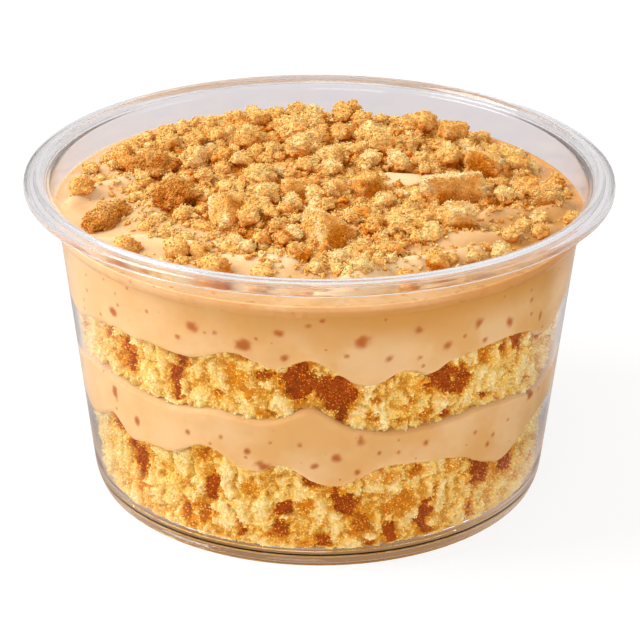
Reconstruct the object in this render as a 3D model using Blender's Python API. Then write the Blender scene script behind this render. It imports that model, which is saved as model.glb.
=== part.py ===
"""A layered cake in a clear round tub.

A thin plastic tub with a rolled rim holds two layers of torn sponge and two
layers of caramel cream. Biscuit crumbs lie in an uneven heap on the top cream,
with larger biscuit chunks and browned cake clumps resting on them.

Units are metres, +Z is up, the front is -Y, and the origin is the centre of
the base. Bearings are degrees from the front, positive towards +X.
"""
import math
import random

import bmesh
import bpy
import numpy as np
from mathutils import Euler, Vector
from mathutils.bvhtree import BVHTree

# ---------------------------------------------------------------- tub
TUB_HEIGHT = 0.0650
RIM_RADIUS = 0.0585
RIM_LIP_DEPTH = 0.0025
FLANGE_WIDTH = 0.0036
WALL_BASE_RADIUS = 0.0460      # outer wall carried down to the base plane
WALL_TAPER = 0.1063            # outward run of the wall for each unit of height
WALL = 0.0008
SHOULDER_HEIGHT = 0.0560       # stacking step, where the wall turns out to the neck
SHOULDER_STEP = 0.0014
NECK_TOP = 0.0626
NECK_FLARE = 0.0006
FOOT_RADIUS = 0.0432           # inner edge of the ring that the tub stands on
FOOT_WIDTH = 0.0015
FLOOR_UNDERSIDE = 0.0018
FLOOR_TOP = 0.0026
TUB_SIDES = 48

# ---------------------------------------------------------------- contents
GAP = 0.0003                   # between any two pieces that touch
LAYER_GAP = 0.0005             # upright gap between two wavy layers
SEAT_GAP = 0.00035             # upright gap under a chunk that is seated in the heap
SEAT_FLOOR = 0.050             # how far down a seat's cutter reaches
SIDES = 56                     # divisions round each layer
SPONGE_LOWER_LEVEL = 0.0215
CREAM_LOWER_LEVEL = 0.0314
SPONGE_UPPER_LEVEL = 0.0432
CREAM_LEVEL = 0.0579
CREAM_DOME = 0.0002
CREAM_BEND = 0.0500            # height of the ring on the side of the top cream
CRAG_DEPTH = 0.0012            # deepest pit in the sponge where it meets the wall
CRAG_BANDS = (0.30, 0.55, 0.80)    # heights of the rings of pits, as parts of the layer
INNER_RINGS = (0.42, 0.80)     # rings of a layer boundary, as parts of the wall radius
LOBE_FADE = 1.5                # power by which the lobes die away towards the middle

# Each lobe of a boundary: bearing, rise (negative where cream sags), half-width.
LOWER_SPONGE_LOBES = (
    (-56, 0.0022, 5), (-49, -0.0014, 5), (-36, -0.0008, 6), (-27, 0.0034, 7), (-14, -0.0009, 5),
    (-8, 0.0020, 4), (4, -0.0032, 8), (16, 0.0008, 7), (48, -0.0055, 10), (66, 0.0004, 6),
    (84, 0.0016, 9), (101, -0.0030, 9), (120, 0.0018, 9), (139, -0.0034, 10), (158, 0.0014, 8),
    (177, -0.0030, 9), (197, 0.0018, 8), (217, -0.0038, 10), (237, 0.0014, 8), (256, -0.0030, 9),
    (275, 0.0012, 7), (290, -0.0022, 8),
)
LOWER_CREAM_LOBES = (
    (-58, 0.0016, 20), (-22, 0.0018, 9), (-2, 0.0042, 7), (22, -0.0018, 14), (60, -0.0028, 15),
    (100, 0.0016, 16), (136, -0.0022, 14), (170, 0.0024, 15), (205, -0.0018, 13), (240, 0.0018, 16),
    (274, -0.0012, 12),
)
UPPER_SPONGE_LOBES = (
    (-70, -0.0026, 8), (-51, 0.0009, 5), (-40, 0.0009, 5), (-19, 0.0030, 7), (-2, 0.0026, 5),
    (11, -0.0032, 6), (25, -0.0022, 4), (44, 0.0008, 9), (62, -0.0034, 7), (80, 0.0012, 8),
    (97, -0.0030, 8), (115, 0.0016, 8), (133, -0.0026, 8), (150, 0.0016, 8), (168, -0.0032, 9),
    (188, 0.0014, 8), (206, -0.0026, 8), (223, 0.0018, 8), (242, -0.0032, 9), (262, 0.0012, 8),
    (276, -0.0016, 6),
)

# ---------------------------------------------------------------- swirled cream surface
SWIRL_ARMS = 9
SWIRL_TWIST = 290.0            # radians of phase for each metre outward
SWIRL_HEIGHT = 0.0007
SWIRL_PHASE = 0.9
SWIRL_OVERTONE = (0.35, 1.1)   # strength and phase of the ridges' second wave
SWIRL_BARE = (0.86, 1.10)      # where ridges set in, as parts of the heap's outline
SWIRL_END = (0.0460, 0.0515)   # where they die out before the wall
CREAM_RINGS = (0.014, 0.026, 0.032, 0.037, 0.0415, 0.046, 0.0495)

# ---------------------------------------------------------------- crumb heap
# Outline of the heap: bearing and radius of its marks. Straight stretches of
# radius join them, and ripples (size, count and phase) run along the whole.
HEAP_OUTLINE = (
    (0, 0.0340), (7, 0.0370), (16, 0.0320), (37, 0.0312), (52, 0.0312), (66, 0.0330), (78, 0.0370),
    (87, 0.0435), (95, 0.0475), (122, 0.0482), (139, 0.0472), (151, 0.0482), (173, 0.0485),
    (199, 0.0482), (215, 0.0465), (228, 0.0460), (240, 0.0475), (249, 0.0440), (257, 0.0400),
    (268, 0.0350), (284, 0.0335), (300, 0.0310), (325, 0.0298), (342, 0.0295), (352, 0.0320),
)
OUTLINE_RIPPLES = ((0.0009, 7.0, 0.5), (0.0006, 13.0, 2.0))
HEAP_EDGE = 0.0008             # thickness at the outline
HEAP_CROWN = 0.0011            # more of it towards the middle
HEAP_BACK = 0.0009             # and more again towards the back wall
LUMP_HEIGHT = 0.0005           # lumps of crumb under the crumbs that show
LUMP_WAVES = (310.0, 270.0)    # radians of phase for each metre along x and along y
SLANT_WAVES = (-430.0, 520.0)  # the same for the waves that run slantwise
SLANT_SHARE = 0.6
HEAP_SIDES = 44
HEAP_RINGS = 8
HEAP_UNDER_RINGS = (0.45, 0.72, 0.86, 0.93, 1.0)
CRUMB_TOP = 0.0645             # no crumb stands above this
CRUMB_TALL = 0.0022            # greatest vertical half-size of a crumb, before it is jolted
CRUMB_SPREAD = (0.80, 1.15)    # least and most stretch of a crumb along each axis
CRUMB_JOLT = (0.84, 1.08)      # least and most push of each of its corners
CRUMB_REACH = 1.25             # furthest corner from its centre, in radii
HEAP_CRUMBS = ((0.0016, 14),)
CREAM_CRUMBS = ((0.0019, 6), (0.0014, 8))
CRUMB_TRIES = 40               # throws for each crumb wanted
HEAP_CROWDING = 0.95           # least distance between crumbs, in their two radii
LONE_CROWDING = 1.0
CREAM_CROWDING = 1.3
HEAP_RISE = 0.45               # how far a crumb's centre stands above what carries it, in radii
CRUMB_SEAT = 0.0002            # how far a crumb's flat underside stays above the heap's own
CREAM_RISE = 0.30

# Hollows in the heap, before and between the large pieces: x, y, reach, share taken away.
HEAP_HOLLOWS = (
    (0.0280, -0.0075, 0.0060, 0.85), (0.0030, -0.0275, 0.0060, 0.85), (-0.0195, -0.0195, 0.0050, 0.75),
    (0.0165, 0.0098, 0.0050, 0.85), (0.0270, -0.0200, 0.0040, 0.60),
)
HEAP_LEAST = 0.00035           # thickness left in a hollow

# Large crumbs of the heap: x, y, radius.
HEAP_LUMPS = (
    (-0.0059, 0.0308, 0.0034), (0.0209, 0.0368, 0.0033), (0.0264, 0.0166, 0.0030),
    (0.0134, 0.0245, 0.0030), (-0.0123, 0.0041, 0.0029), (0.0027, 0.0127, 0.0029),
    (-0.0011, 0.0402, 0.0028), (-0.0006, 0.0260, 0.0026), (-0.0259, 0.0139, 0.0026),
    (0.0054, 0.0428, 0.0026), (-0.0152, 0.0258, 0.0026), (-0.0045, 0.0178, 0.0025),
    (-0.0198, 0.0152, 0.0025), (0.0103, 0.0293, 0.0024), (0.0158, 0.0147, 0.0022),
    (-0.0317, 0.0232, 0.0022), (0.0418, 0.0033, 0.0023), (-0.0101, -0.0067, 0.0022),
    (0.0125, -0.0069, 0.0021), (-0.0401, 0.0183, 0.0021), (-0.0133, -0.0167, 0.0020),
    (0.0027, -0.0039, 0.0020), (0.0216, -0.0217, 0.0020), (-0.0166, -0.0243, 0.0020),
    (-0.0096, 0.0400, 0.0020), (-0.0047, 0.0445, 0.0020), (0.0090, 0.0391, 0.0020),
    (0.0367, -0.0033, 0.0020), (-0.0132, 0.0368, 0.0019), (-0.0039, -0.0314, 0.0019),
    (0.0134, -0.0282, 0.0019), (0.0107, -0.0188, 0.0019), (0.0412, 0.0180, 0.0019),
    (-0.0262, 0.0244, 0.0019), (-0.0005, -0.0355, 0.0018), (0.0088, -0.0312, 0.0018),
    (0.0107, 0.0146, 0.0018), (-0.0148, 0.0430, 0.0018), (0.0182, 0.0264, 0.0017),
    (0.0308, 0.0272, 0.0017), (-0.0219, 0.0275, 0.0017), (0.0206, 0.0165, 0.0017),
    (0.0162, 0.0449, 0.0017), (-0.0182, 0.0392, 0.0017), (0.0039, -0.0360, 0.0016),
    (0.0173, -0.0100, 0.0016), (-0.0188, -0.0004, 0.0016), (0.0250, 0.0425, 0.0016),
)

# Loose crumbs on bare cream near the front and sides: x, y, radius.
LONE_CRUMBS = (
    (-0.0195, -0.0371, 0.0027), (-0.0365, -0.0272, 0.0024), (-0.0269, -0.0290, 0.0026),
    (0.0345, -0.0285, 0.0024), (0.0221, -0.0345, 0.0022), (-0.0474, 0.0007, 0.0022),
    (0.0423, -0.0194, 0.0020), (0.0368, -0.0215, 0.0018), (0.0080, -0.0390, 0.0018),
    (-0.0107, -0.0399, 0.0016), (0.0497, -0.0098, 0.0016), (0.0165, -0.0403, 0.0014),
)

# Broken biscuit with unlike sides: name, eight corners and cuts. Near left, near right, far left and
# far right corner, first the four low ones and then the four high ones.
BISCUIT_BLOCKS = (
    ("biscuit_slab", (
        (0.0218, -0.0045, 0.0585), (0.0339, -0.0034, 0.0580), (0.0177, -0.0017, 0.0579),
        (0.0328, 0.0004, 0.0572), (0.0212, -0.0041, 0.0644), (0.0324, -0.0019, 0.0648),
        (0.0200, -0.0003, 0.0634), (0.0318, 0.0021, 0.0639)), 2),
    ("biscuit_wedge", (
        (-0.0046, -0.0212, 0.0596), (0.0015, -0.0267, 0.0583), (0.0005, -0.0185, 0.0570),
        (0.0056, -0.0249, 0.0575), (-0.0030, -0.0179, 0.0644), (0.0005, -0.0221, 0.0648),
        (0.0042, -0.0155, 0.0600), (0.0084, -0.0211, 0.0598)), 2),
    ("biscuit_flake", (
        (-0.0209, -0.0178, 0.0584), (-0.0170, -0.0168, 0.0607), (-0.0173, -0.0165, 0.0560),
        (-0.0134, -0.0154, 0.0583), (-0.0224, -0.0104, 0.0627), (-0.0189, -0.0111, 0.0646),
        (-0.0188, -0.0090, 0.0603), (-0.0153, -0.0098, 0.0622)), 1),
)

# Squarer broken biscuit: name, centre x and y, height of the top, size, turn, cuts.
BISCUIT_CHUNKS = (
    ("biscuit_cube", 0.0270, -0.0165, 0.0643, (0.0056, 0.0050, 0.0054), (6, 8, 18), 1),
    ("biscuit_shard", -0.0033, -0.0018, 0.0640, (0.0080, 0.0046, 0.0050), (-20, 8, 20), 1),
    ("biscuit_stub", 0.0090, -0.0008, 0.0642, (0.0060, 0.0054, 0.0054), (-15, 6, 38), 1),
    ("biscuit_block_right", 0.0333, 0.0131, 0.0640, (0.0072, 0.0050, 0.0052), (-12, 14, -20), 1),
    ("biscuit_block_back", 0.0281, 0.0313, 0.0638, (0.0052, 0.0046, 0.0046), (-8, 12, 24), 1),
)

# Browned cake clumps: name, centre x and y, height of the top, radii, turn.
CAKE_CLUMPS = (
    ("cake_clump_left", -0.0285, -0.0049, 0.0640, (0.0047, 0.0044, 0.0031), 0),
    ("cake_clump_front", -0.0419, -0.0104, 0.0608, (0.0036, 0.0072, 0.0024), -28),
    ("cake_clump_back", -0.0342, 0.0127, 0.0634, (0.0050, 0.0040, 0.0028), 10),
    ("cake_clump_right", 0.0450, -0.0020, 0.0622, (0.0034, 0.0034, 0.0028), 0),
)
WORN_FROM = 1.1                # how far from its centre a biscuit starts to be worn, in half-sizes
WORN_SHARE = 0.16
BISCUIT_ROUGHNESS = 0.0002     # jolt of a biscuit's surface
CLUMP_JOLT = (0.86, 1.08)
ABOVE_ALL = 0.2                # a height well above the part
DOWNWARD = -0.2                # a normal's least tilt that counts as facing down

# ---------------------------------------------------------------- random draws
LOWER_SPONGE_SEED = 11
UPPER_SPONGE_SEED = 23
UNDERSIDE_SEED = 21
HEAP_SEED = 31
CREAM_SEED = 47
BISCUIT_SEED = 101
CLUMP_SEED = 201


# ---------------------------------------------------------------- helpers
def clear_scene():
    """Remove every object that the file opened with."""
    for found in list(bpy.data.objects):
        bpy.data.objects.remove(found, do_unlink=True)


def plain_material(name, colour, roughness, metallic=0.0, transmission=0.0):
    """A Principled material in one colour."""
    material = bpy.data.materials.new(name)
    material.use_nodes = True
    shader = material.node_tree.nodes["Principled BSDF"]
    shader.inputs["Base Color"].default_value = (*colour, 1.0)
    shader.inputs["Roughness"].default_value = roughness
    shader.inputs["Metallic"].default_value = metallic
    shader.inputs["Transmission Weight"].default_value = transmission
    material.diffuse_color = (*colour, 1.0)
    return material


def new_object(name, mesh, material):
    """Put a mesh in the scene as one named object with its own material."""
    built = bpy.data.objects.new(name, mesh)
    mesh.materials.append(material)
    bpy.context.collection.objects.link(built)
    return built


def smoothstep(low, high, value):
    """0 below low, 1 above high, and an even S-curve between them."""
    part = np.clip((value - low) / (high - low), 0.0, 1.0)
    return part * part * (3.0 - 2.0 * part)


def surface_tree(built):
    """A search tree over an object's mesh, for heights and distances."""
    mesh = built.data
    corners = [vertex.co for vertex in mesh.vertices]
    return BVHTree.FromPolygons(corners, [tuple(face.vertices) for face in mesh.polygons])


def height_on(tree, x, y, fallback):
    """Height of the top surface of a tree at x, y, or fallback where it has none."""
    point, _, _, _ = tree.ray_cast(Vector((x, y, ABOVE_ALL)), Vector((0.0, 0.0, -1.0)))
    return fallback if point is None else point.z


# ---------------------------------------------------------------- tub
def wall_outside(height):
    """Radius of the outer face of the tapered wall."""
    return WALL_BASE_RADIUS + WALL_TAPER * height


def tub_outside():
    """Outer half of the section: rim crest, lip, neck, shoulder, wall and foot."""
    flange = TUB_HEIGHT - 0.00045
    neck = wall_outside(SHOULDER_HEIGHT) + SHOULDER_STEP
    lip_bottom = TUB_HEIGHT - RIM_LIP_DEPTH
    foot = FOOT_RADIUS + FOOT_WIDTH
    return [
        (RIM_RADIUS - 0.0029, TUB_HEIGHT),
        (RIM_RADIUS - 0.0021, flange),
        (RIM_RADIUS - 0.0007, flange),
        (RIM_RADIUS - 0.0001, flange - 0.0004),
        (RIM_RADIUS, lip_bottom + 0.0003),
        (RIM_RADIUS - 0.0004, lip_bottom),
        (RIM_RADIUS - WALL, lip_bottom + 0.0003),
        (RIM_RADIUS - WALL - 0.0001, flange - WALL - 0.0001),
        (RIM_RADIUS - FLANGE_WIDTH, flange - WALL),
        (neck + NECK_FLARE + 0.0001, NECK_TOP + 0.0006),
        (neck + NECK_FLARE, NECK_TOP),
        (neck, SHOULDER_HEIGHT + 0.0009),
        (neck - 0.0003, SHOULDER_HEIGHT + 0.0003),
        (wall_outside(SHOULDER_HEIGHT - 0.0003), SHOULDER_HEIGHT - 0.0003),
        (wall_outside(0.0023), 0.0023),
        (foot + 0.0012, 0.0012),
        (foot + 0.0007, 0.00035),
        (foot, 0.0),
        (FOOT_RADIUS, 0.0),
        (FOOT_RADIUS - 0.0006, 0.0006),
        (FOOT_RADIUS - 0.0009, FLOOR_UNDERSIDE),
        (0.0, FLOOR_UNDERSIDE),
    ]


def tub_inside():
    """Inner half of the section, from the edge of the floor up to the rim."""
    neck = wall_outside(SHOULDER_HEIGHT) + SHOULDER_STEP - WALL
    corner = wall_outside(0.0040) - WALL
    return [
        (corner - 0.0015, FLOOR_TOP),
        (corner - 0.0006, FLOOR_TOP + 0.00035),
        (corner, 0.0040),
        (wall_outside(SHOULDER_HEIGHT) - WALL - 0.00005, SHOULDER_HEIGHT - 0.0005),
        (neck - 0.0012, SHOULDER_HEIGHT + 0.00035),
        (neck - 0.0002, SHOULDER_HEIGHT + 0.0010),
        (neck, SHOULDER_HEIGHT + 0.0016),
        (neck + NECK_FLARE, NECK_TOP + 0.0002),
        (neck + NECK_FLARE + 0.0003, NECK_TOP + 0.0007),
        (RIM_RADIUS - 0.0043, NECK_TOP + 0.0009),
        (RIM_RADIUS - 0.0039, TUB_HEIGHT - 0.0005),
        (RIM_RADIUS - 0.0034, TUB_HEIGHT - 0.0001),
    ]


def build_tub():
    """The clear tub: one section turned round the upright axis."""
    section = tub_outside() + [(0.0, FLOOR_TOP)] + tub_inside()
    corners = [(radius, 0.0, height) for radius, height in section]
    edges = [(i, (i + 1) % len(corners)) for i in range(len(corners))]
    # The two points on the axis stay unjoined, so the floor closes on itself.
    axis = section.index((0.0, FLOOR_UNDERSIDE))
    edges.remove((axis, axis + 1))
    mesh = bpy.data.meshes.new("tub")
    mesh.from_pydata(corners, edges, [])
    tub = new_object("tub", mesh, plain_material("clear_plastic", (0.92, 0.90, 0.92), 0.05, 0.0, 0.9))
    turned = tub.modifiers.new("turned", 'SCREW')
    turned.steps = TUB_SIDES
    turned.render_steps = TUB_SIDES
    turned.use_merge_vertices = True
    turned.merge_threshold = 0.00001
    turned.use_smooth_shade = True
    return tub


def content_radius(height):
    """Largest radius that clears the inside of the tub at a height."""
    inside = tub_inside()
    radius = np.interp(height, [point[1] for point in inside], [point[0] for point in inside])
    return radius * math.cos(math.pi / TUB_SIDES) - GAP


# ---------------------------------------------------------------- layers
def round_angles(count):
    """Angles of the divisions round a layer, from +X."""
    return np.arange(count) * (2.0 * math.pi / count)


def boundary(level, lobes, radius, angle):
    """Height of a wavy boundary: the lobes are full at the wall and fade to the middle."""
    bearing = np.degrees(angle) + 90.0
    wave = np.zeros_like(bearing)
    for lobe_bearing, rise, width in lobes:
        off = (bearing - lobe_bearing + 180.0) % 360.0 - 180.0
        wave = wave + rise * np.exp(-(off / width) ** 2)
    return level + wave * (radius / wall_outside(level)) ** LOBE_FADE


def rings_to_solid(name, below, side, above, material):
    """One closed body from rings of points.

    below and above run from the middle outwards, side runs upwards, and each
    ring is a pair of arrays: radius and height at every division. Every cell is
    split along the same diagonal, so facing layers keep an even gap.
    """
    count = len(below[0][0])
    angle = round_angles(count)
    rings = below + side + above[::-1]
    points = [(0.0, 0.0, float(np.mean(below[0][1])))]
    for radius, height in rings:
        points.extend(zip(radius * np.cos(angle), radius * np.sin(angle), height))
    points.append((0.0, 0.0, float(np.mean(above[0][1]))))
    faces = []
    last = len(points) - 1
    flip_from = len(below) + len(side) - 1
    for j in range(count):
        k = (j + 1) % count
        faces.append((0, 1 + k, 1 + j))
        end = 1 + (len(rings) - 1) * count
        faces.append((end + j, end + k, last))
        for ring in range(len(rings) - 1):
            start = 1 + ring * count
            a, b = start + j, start + k
            c, d = start + count + k, start + count + j
            if ring < flip_from:
                faces.extend(((a, b, c), (a, c, d)))
            else:
                faces.extend(((a, b, d), (b, c, d)))
    mesh = bpy.data.meshes.new(name)
    mesh.from_pydata([tuple(map(float, point)) for point in points], [], faces)
    return new_object(name, mesh, material)


def even_ring(radius, height):
    """A plain ring at one radius and height."""
    return (np.full(SIDES, radius), np.full(SIDES, height))


def boundary_rings(level, lobes, lift, fractions, outer):
    """Rings on a wavy boundary, raised by lift, out to an outer ring of radii."""
    angle = round_angles(SIDES)
    reach = wall_outside(level)
    rings = []
    for fraction in fractions:
        radius = np.full(SIDES, fraction * reach)
        rings.append((radius, boundary(level, lobes, radius, angle) + lift))
    rings.append((outer, boundary(level, lobes, outer, angle) + lift))
    return rings


def edge_radius(level, lobes, lift):
    """Wall clearance all along the edge of a wavy boundary."""
    angle = round_angles(SIDES)
    reach = np.full(SIDES, wall_outside(level))
    return content_radius(boundary(level, lobes, reach, angle) + lift)


def with_crags(radius, draw):
    """Radii less a random pit at each division."""
    pits = np.array([draw.random() ** 1.6 for _ in radius])
    return radius - CRAG_DEPTH * pits


def build_sponge(name, level, lobes, floor_rings, floor_edge, seed, material):
    """A torn sponge layer with crags where it shows through the wall."""
    draw = random.Random(seed)
    angle = round_angles(SIDES)
    bottom = floor_rings[-1][1]
    top_radius = with_crags(edge_radius(level, lobes, 0.0), draw)
    top = boundary(level, lobes, top_radius, angle)
    side = []
    for part in (floor_edge, *CRAG_BANDS):
        height = bottom + (top - bottom) * part
        side.append((with_crags(content_radius(height), draw), height))
    above = boundary_rings(level, lobes, 0.0, INNER_RINGS, top_radius)
    return rings_to_solid(name, floor_rings, side, above, material)


def build_lower_sponge(material):
    """The bottom layer, which follows the rounded corner of the tub floor."""
    base = FLOOR_TOP + GAP
    floor_rings = [even_ring(0.020, base), even_ring(FOOT_RADIUS, base)]
    return build_sponge("sponge_lower", SPONGE_LOWER_LEVEL, LOWER_SPONGE_LOBES, floor_rings, 0.09,
                        LOWER_SPONGE_SEED, material)


def build_upper_sponge(material):
    """The second sponge layer, laid on the lower cream."""
    draw = random.Random(UNDERSIDE_SEED)
    outer = with_crags(edge_radius(CREAM_LOWER_LEVEL, LOWER_CREAM_LOBES, LAYER_GAP), draw)
    floor_rings = boundary_rings(CREAM_LOWER_LEVEL, LOWER_CREAM_LOBES, LAYER_GAP, INNER_RINGS, outer)
    return build_sponge("sponge_upper", SPONGE_UPPER_LEVEL, UPPER_SPONGE_LOBES, floor_rings, 0.10,
                        UPPER_SPONGE_SEED, material)


def build_lower_cream(material):
    """Cream between the sponge layers, smooth where it presses on the wall."""
    below = boundary_rings(SPONGE_LOWER_LEVEL, LOWER_SPONGE_LOBES, LAYER_GAP, INNER_RINGS,
                           edge_radius(SPONGE_LOWER_LEVEL, LOWER_SPONGE_LOBES, LAYER_GAP))
    above = boundary_rings(CREAM_LOWER_LEVEL, LOWER_CREAM_LOBES, 0.0, INNER_RINGS,
                           edge_radius(CREAM_LOWER_LEVEL, LOWER_CREAM_LOBES, 0.0))
    middle = 0.5 * (below[-1][1] + above[-1][1])
    return rings_to_solid("cream_lower", below, [(content_radius(middle), middle)], above, material)


def outline_radius(angle):
    """Radius of the crumb heap's outline at an angle."""
    bearing = (np.degrees(angle) + 90.0) % 360.0
    marks = [point[0] for point in HEAP_OUTLINE] + [360.0]
    radii = [point[1] for point in HEAP_OUTLINE] + [HEAP_OUTLINE[0][1]]
    ripple = sum(size * np.cos(count * angle + phase) for size, count, phase in OUTLINE_RIPPLES)
    return np.interp(bearing, marks, radii) + ripple


def cream_top(x, y):
    """Height of the swirled cream: a low dome, with twisted ridges where it is bare."""
    radius = np.hypot(x, y)
    angle = np.arctan2(y, x)
    bare = smoothstep(*SWIRL_BARE, radius / outline_radius(angle))
    rim_fade = 1.0 - smoothstep(*SWIRL_END, radius)
    phase = SWIRL_ARMS * angle + SWIRL_TWIST * radius + SWIRL_PHASE
    share, shift = SWIRL_OVERTONE
    ridge = SWIRL_HEIGHT * (np.cos(phase) + share * np.cos(2.0 * phase + shift))
    dome = CREAM_DOME * (1.0 - (radius / 0.052) ** 2)
    return CREAM_LEVEL + dome + ridge * bare * rim_fade


def build_upper_cream(material):
    """The top cream, filling the shoulder of the tub, with its swirled surface."""
    angle = round_angles(SIDES)
    below = boundary_rings(SPONGE_UPPER_LEVEL, UPPER_SPONGE_LOBES, LAYER_GAP, INNER_RINGS,
                           edge_radius(SPONGE_UPPER_LEVEL, UPPER_SPONGE_LOBES, LAYER_GAP))
    under_step = SHOULDER_HEIGHT + 0.00035
    over_step = SHOULDER_HEIGHT + 0.0010
    side = [
        even_ring(content_radius(CREAM_BEND), CREAM_BEND),
        even_ring(content_radius(SHOULDER_HEIGHT - 0.0005), SHOULDER_HEIGHT - 0.0005),
        even_ring(content_radius(under_step) - 0.0001, under_step + 0.0002),
        even_ring(content_radius(over_step) - 0.0001, over_step + 0.00035),
    ]
    above = []
    for radius in CREAM_RINGS:
        ring = np.full(SIDES, radius)
        above.append((ring, cream_top(ring * np.cos(angle), ring * np.sin(angle))))
    above.append(even_ring(content_radius(CREAM_LEVEL), CREAM_LEVEL))
    return rings_to_solid("cream_upper", below, side, above, material)


# ---------------------------------------------------------------- crumb heap
def heap_top(x, y):
    """Height of the bare heap under its crumbs: thin at the outline, banked at the back."""
    radius = np.hypot(x, y)
    angle = np.arctan2(y, x)
    inward = np.clip(1.0 - (radius / outline_radius(angle)) ** 2, 0.0, 1.0)
    lumps = np.sin(LUMP_WAVES[0] * x + 1.3) * np.cos(LUMP_WAVES[1] * y + 0.4)
    lumps += SLANT_SHARE * np.sin(SLANT_WAVES[1] * y + SLANT_WAVES[0] * x)
    thick = HEAP_EDGE + HEAP_CROWN * inward ** 0.7 + HEAP_BACK * smoothstep(0.0, 0.040, y)
    thick = thick + LUMP_HEIGHT * lumps * np.sqrt(inward)
    for hollow_x, hollow_y, reach, share in HEAP_HOLLOWS:
        away = ((x - hollow_x) ** 2 + (y - hollow_y) ** 2) / reach ** 2
        thick = thick * (1.0 - share * np.exp(-away))
    return cream_top(x, y) + LAYER_GAP + np.maximum(thick, HEAP_LEAST)


def build_heap_core(cream_tree, material):
    """The heap without its crumbs: a thin uneven mound, an even gap above the cream."""
    angle = round_angles(HEAP_SIDES)
    outline = outline_radius(angle)
    above = []
    for step in range(1, HEAP_RINGS + 1):
        radius = outline * (step / HEAP_RINGS) ** 0.8
        above.append((radius, heap_top(radius * np.cos(angle), radius * np.sin(angle))))
    below = []
    for fraction in HEAP_UNDER_RINGS:
        radius = outline * fraction
        spots = zip(radius * np.cos(angle), radius * np.sin(angle))
        cream = np.array([height_on(cream_tree, x, y, CREAM_LEVEL) for x, y in spots])
        below.append((radius, cream + LAYER_GAP))
    return rings_to_solid("crumb_heap", below, [], above, material)


def seat_cutter(built):
    """A cutter: the object's top surface lifted a little, and its underside taken well down."""
    mesh = built.data.copy()
    underside = {vertex.index for vertex in mesh.vertices if vertex.normal.z < DOWNWARD}
    for vertex in mesh.vertices:
        vertex.co.z = SEAT_FLOOR if vertex.index in underside else vertex.co.z + SEAT_GAP
    cutter = bpy.data.objects.new("cutter", mesh)
    bpy.context.collection.objects.link(cutter)
    cutter.hide_render = True
    cutter.display_type = 'WIRE'
    return cutter


def apply_boolean(built, operation, other=None, collection=None):
    """Join or cut, keep the result as the object's own mesh, and drop what was used."""
    change = built.modifiers.new("change", 'BOOLEAN')
    change.operation = operation
    change.solver = 'EXACT'
    if collection is not None:
        change.operand_type = 'COLLECTION'
        change.collection = collection
    else:
        change.object = other
    graph = bpy.context.evaluated_depsgraph_get()
    result = bpy.data.meshes.new_from_object(built.evaluated_get(graph))
    built.modifiers.clear()
    built.data = result
    used = list(collection.objects) if collection is not None else [other]
    for piece in used:
        bpy.data.objects.remove(piece, do_unlink=True)
    if collection is not None:
        bpy.data.collections.remove(collection)


def keep_main_body(built):
    """Weld the seams, fill what fusing sealed in and drop loose scraps."""
    work = bmesh.new()
    work.from_mesh(built.data)
    bmesh.ops.remove_doubles(work, verts=work.verts, dist=0.000002)
    bmesh.ops.dissolve_degenerate(work, edges=work.edges, dist=0.000002)
    bmesh.ops.triangulate(work, faces=work.faces)
    unseen = set(work.verts)
    bodies = []
    while unseen:
        body = {unseen.pop()}
        growing = list(body)
        while growing:
            vertex = growing.pop()
            for edge in vertex.link_edges:
                other = edge.other_vert(vertex)
                if other not in body:
                    body.add(other)
                    growing.append(other)
        unseen -= body
        bodies.append(body)
    bodies.sort(key=len)
    for body in bodies[:-1]:
        bmesh.ops.delete(work, geom=list(body), context='VERTS')
    work.to_mesh(built.data)
    work.free()


def crumb_mesh(centre, radius, tall, floor, draw):
    """A rough little lump: a twenty-sided ball stretched, turned, jolted and flattened onto a floor."""
    work = bmesh.new()
    bmesh.ops.create_icosphere(work, subdivisions=1, radius=radius)
    turn = Euler([draw.uniform(0.0, math.tau) for _ in range(3)]).to_matrix()
    stretch = Vector([draw.uniform(*CRUMB_SPREAD) for _ in range(3)])
    for vertex in work.verts:
        jolt = draw.uniform(*CRUMB_JOLT)
        vertex.co = turn @ Vector(a * b * jolt for a, b in zip(vertex.co, stretch))
        vertex.co.z *= tall / radius
        vertex.co += centre
        vertex.co.z = max(vertex.co.z, floor)
    mesh = bpy.data.meshes.new("crumb")
    work.to_mesh(mesh)
    work.free()
    return mesh


def clear_of(trees, centre, reach):
    """True where no surface of the trees comes within reach of a point."""
    return all(tree.find_nearest(centre, reach)[0] is None for tree in trees)


class CrumbBed:
    """Crumbs gathered for one node, each clear of its neighbours."""

    def __init__(self, seed, near):
        self.draw = random.Random(seed)
        self.near = near
        self.placed = []
        self.collection = bpy.data.collections.new("crumbs")
        bpy.context.scene.collection.children.link(self.collection)

    def try_crumb(self, x, y, radius, height, crowding, floor=0.0):
        """Add a crumb unless it would reach a chunk, another node or a neighbour."""
        centre = Vector((x, y, height))
        tall = min(radius, CRUMB_TALL)
        if height + CRUMB_REACH * tall > CRUMB_TOP:
            return False
        if math.hypot(x, y) + CRUMB_REACH * radius > content_radius(CREAM_LEVEL):
            return False
        for other, size in self.placed:
            if (other - centre).length < crowding * (size + radius):
                return False
        if not clear_of(self.near, centre, CRUMB_REACH * radius + GAP):
            return False
        crumb = bpy.data.objects.new("crumb", crumb_mesh(centre, radius, tall, floor, self.draw))
        self.collection.objects.link(crumb)
        self.placed.append((centre, radius))
        return True

    def scatter(self, sizes, spot, height_at, crowding, floor_at=None):
        """Throw crumbs of each size, largest first, until each count is placed."""
        for radius, count in sizes:
            placed = 0
            for _ in range(count * CRUMB_TRIES):
                x, y = spot(self.draw)
                floor = floor_at(x, y) if floor_at else 0.0
                if placed < count and self.try_crumb(x, y, radius, height_at(x, y, radius), crowding, floor):
                    placed += 1


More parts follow.
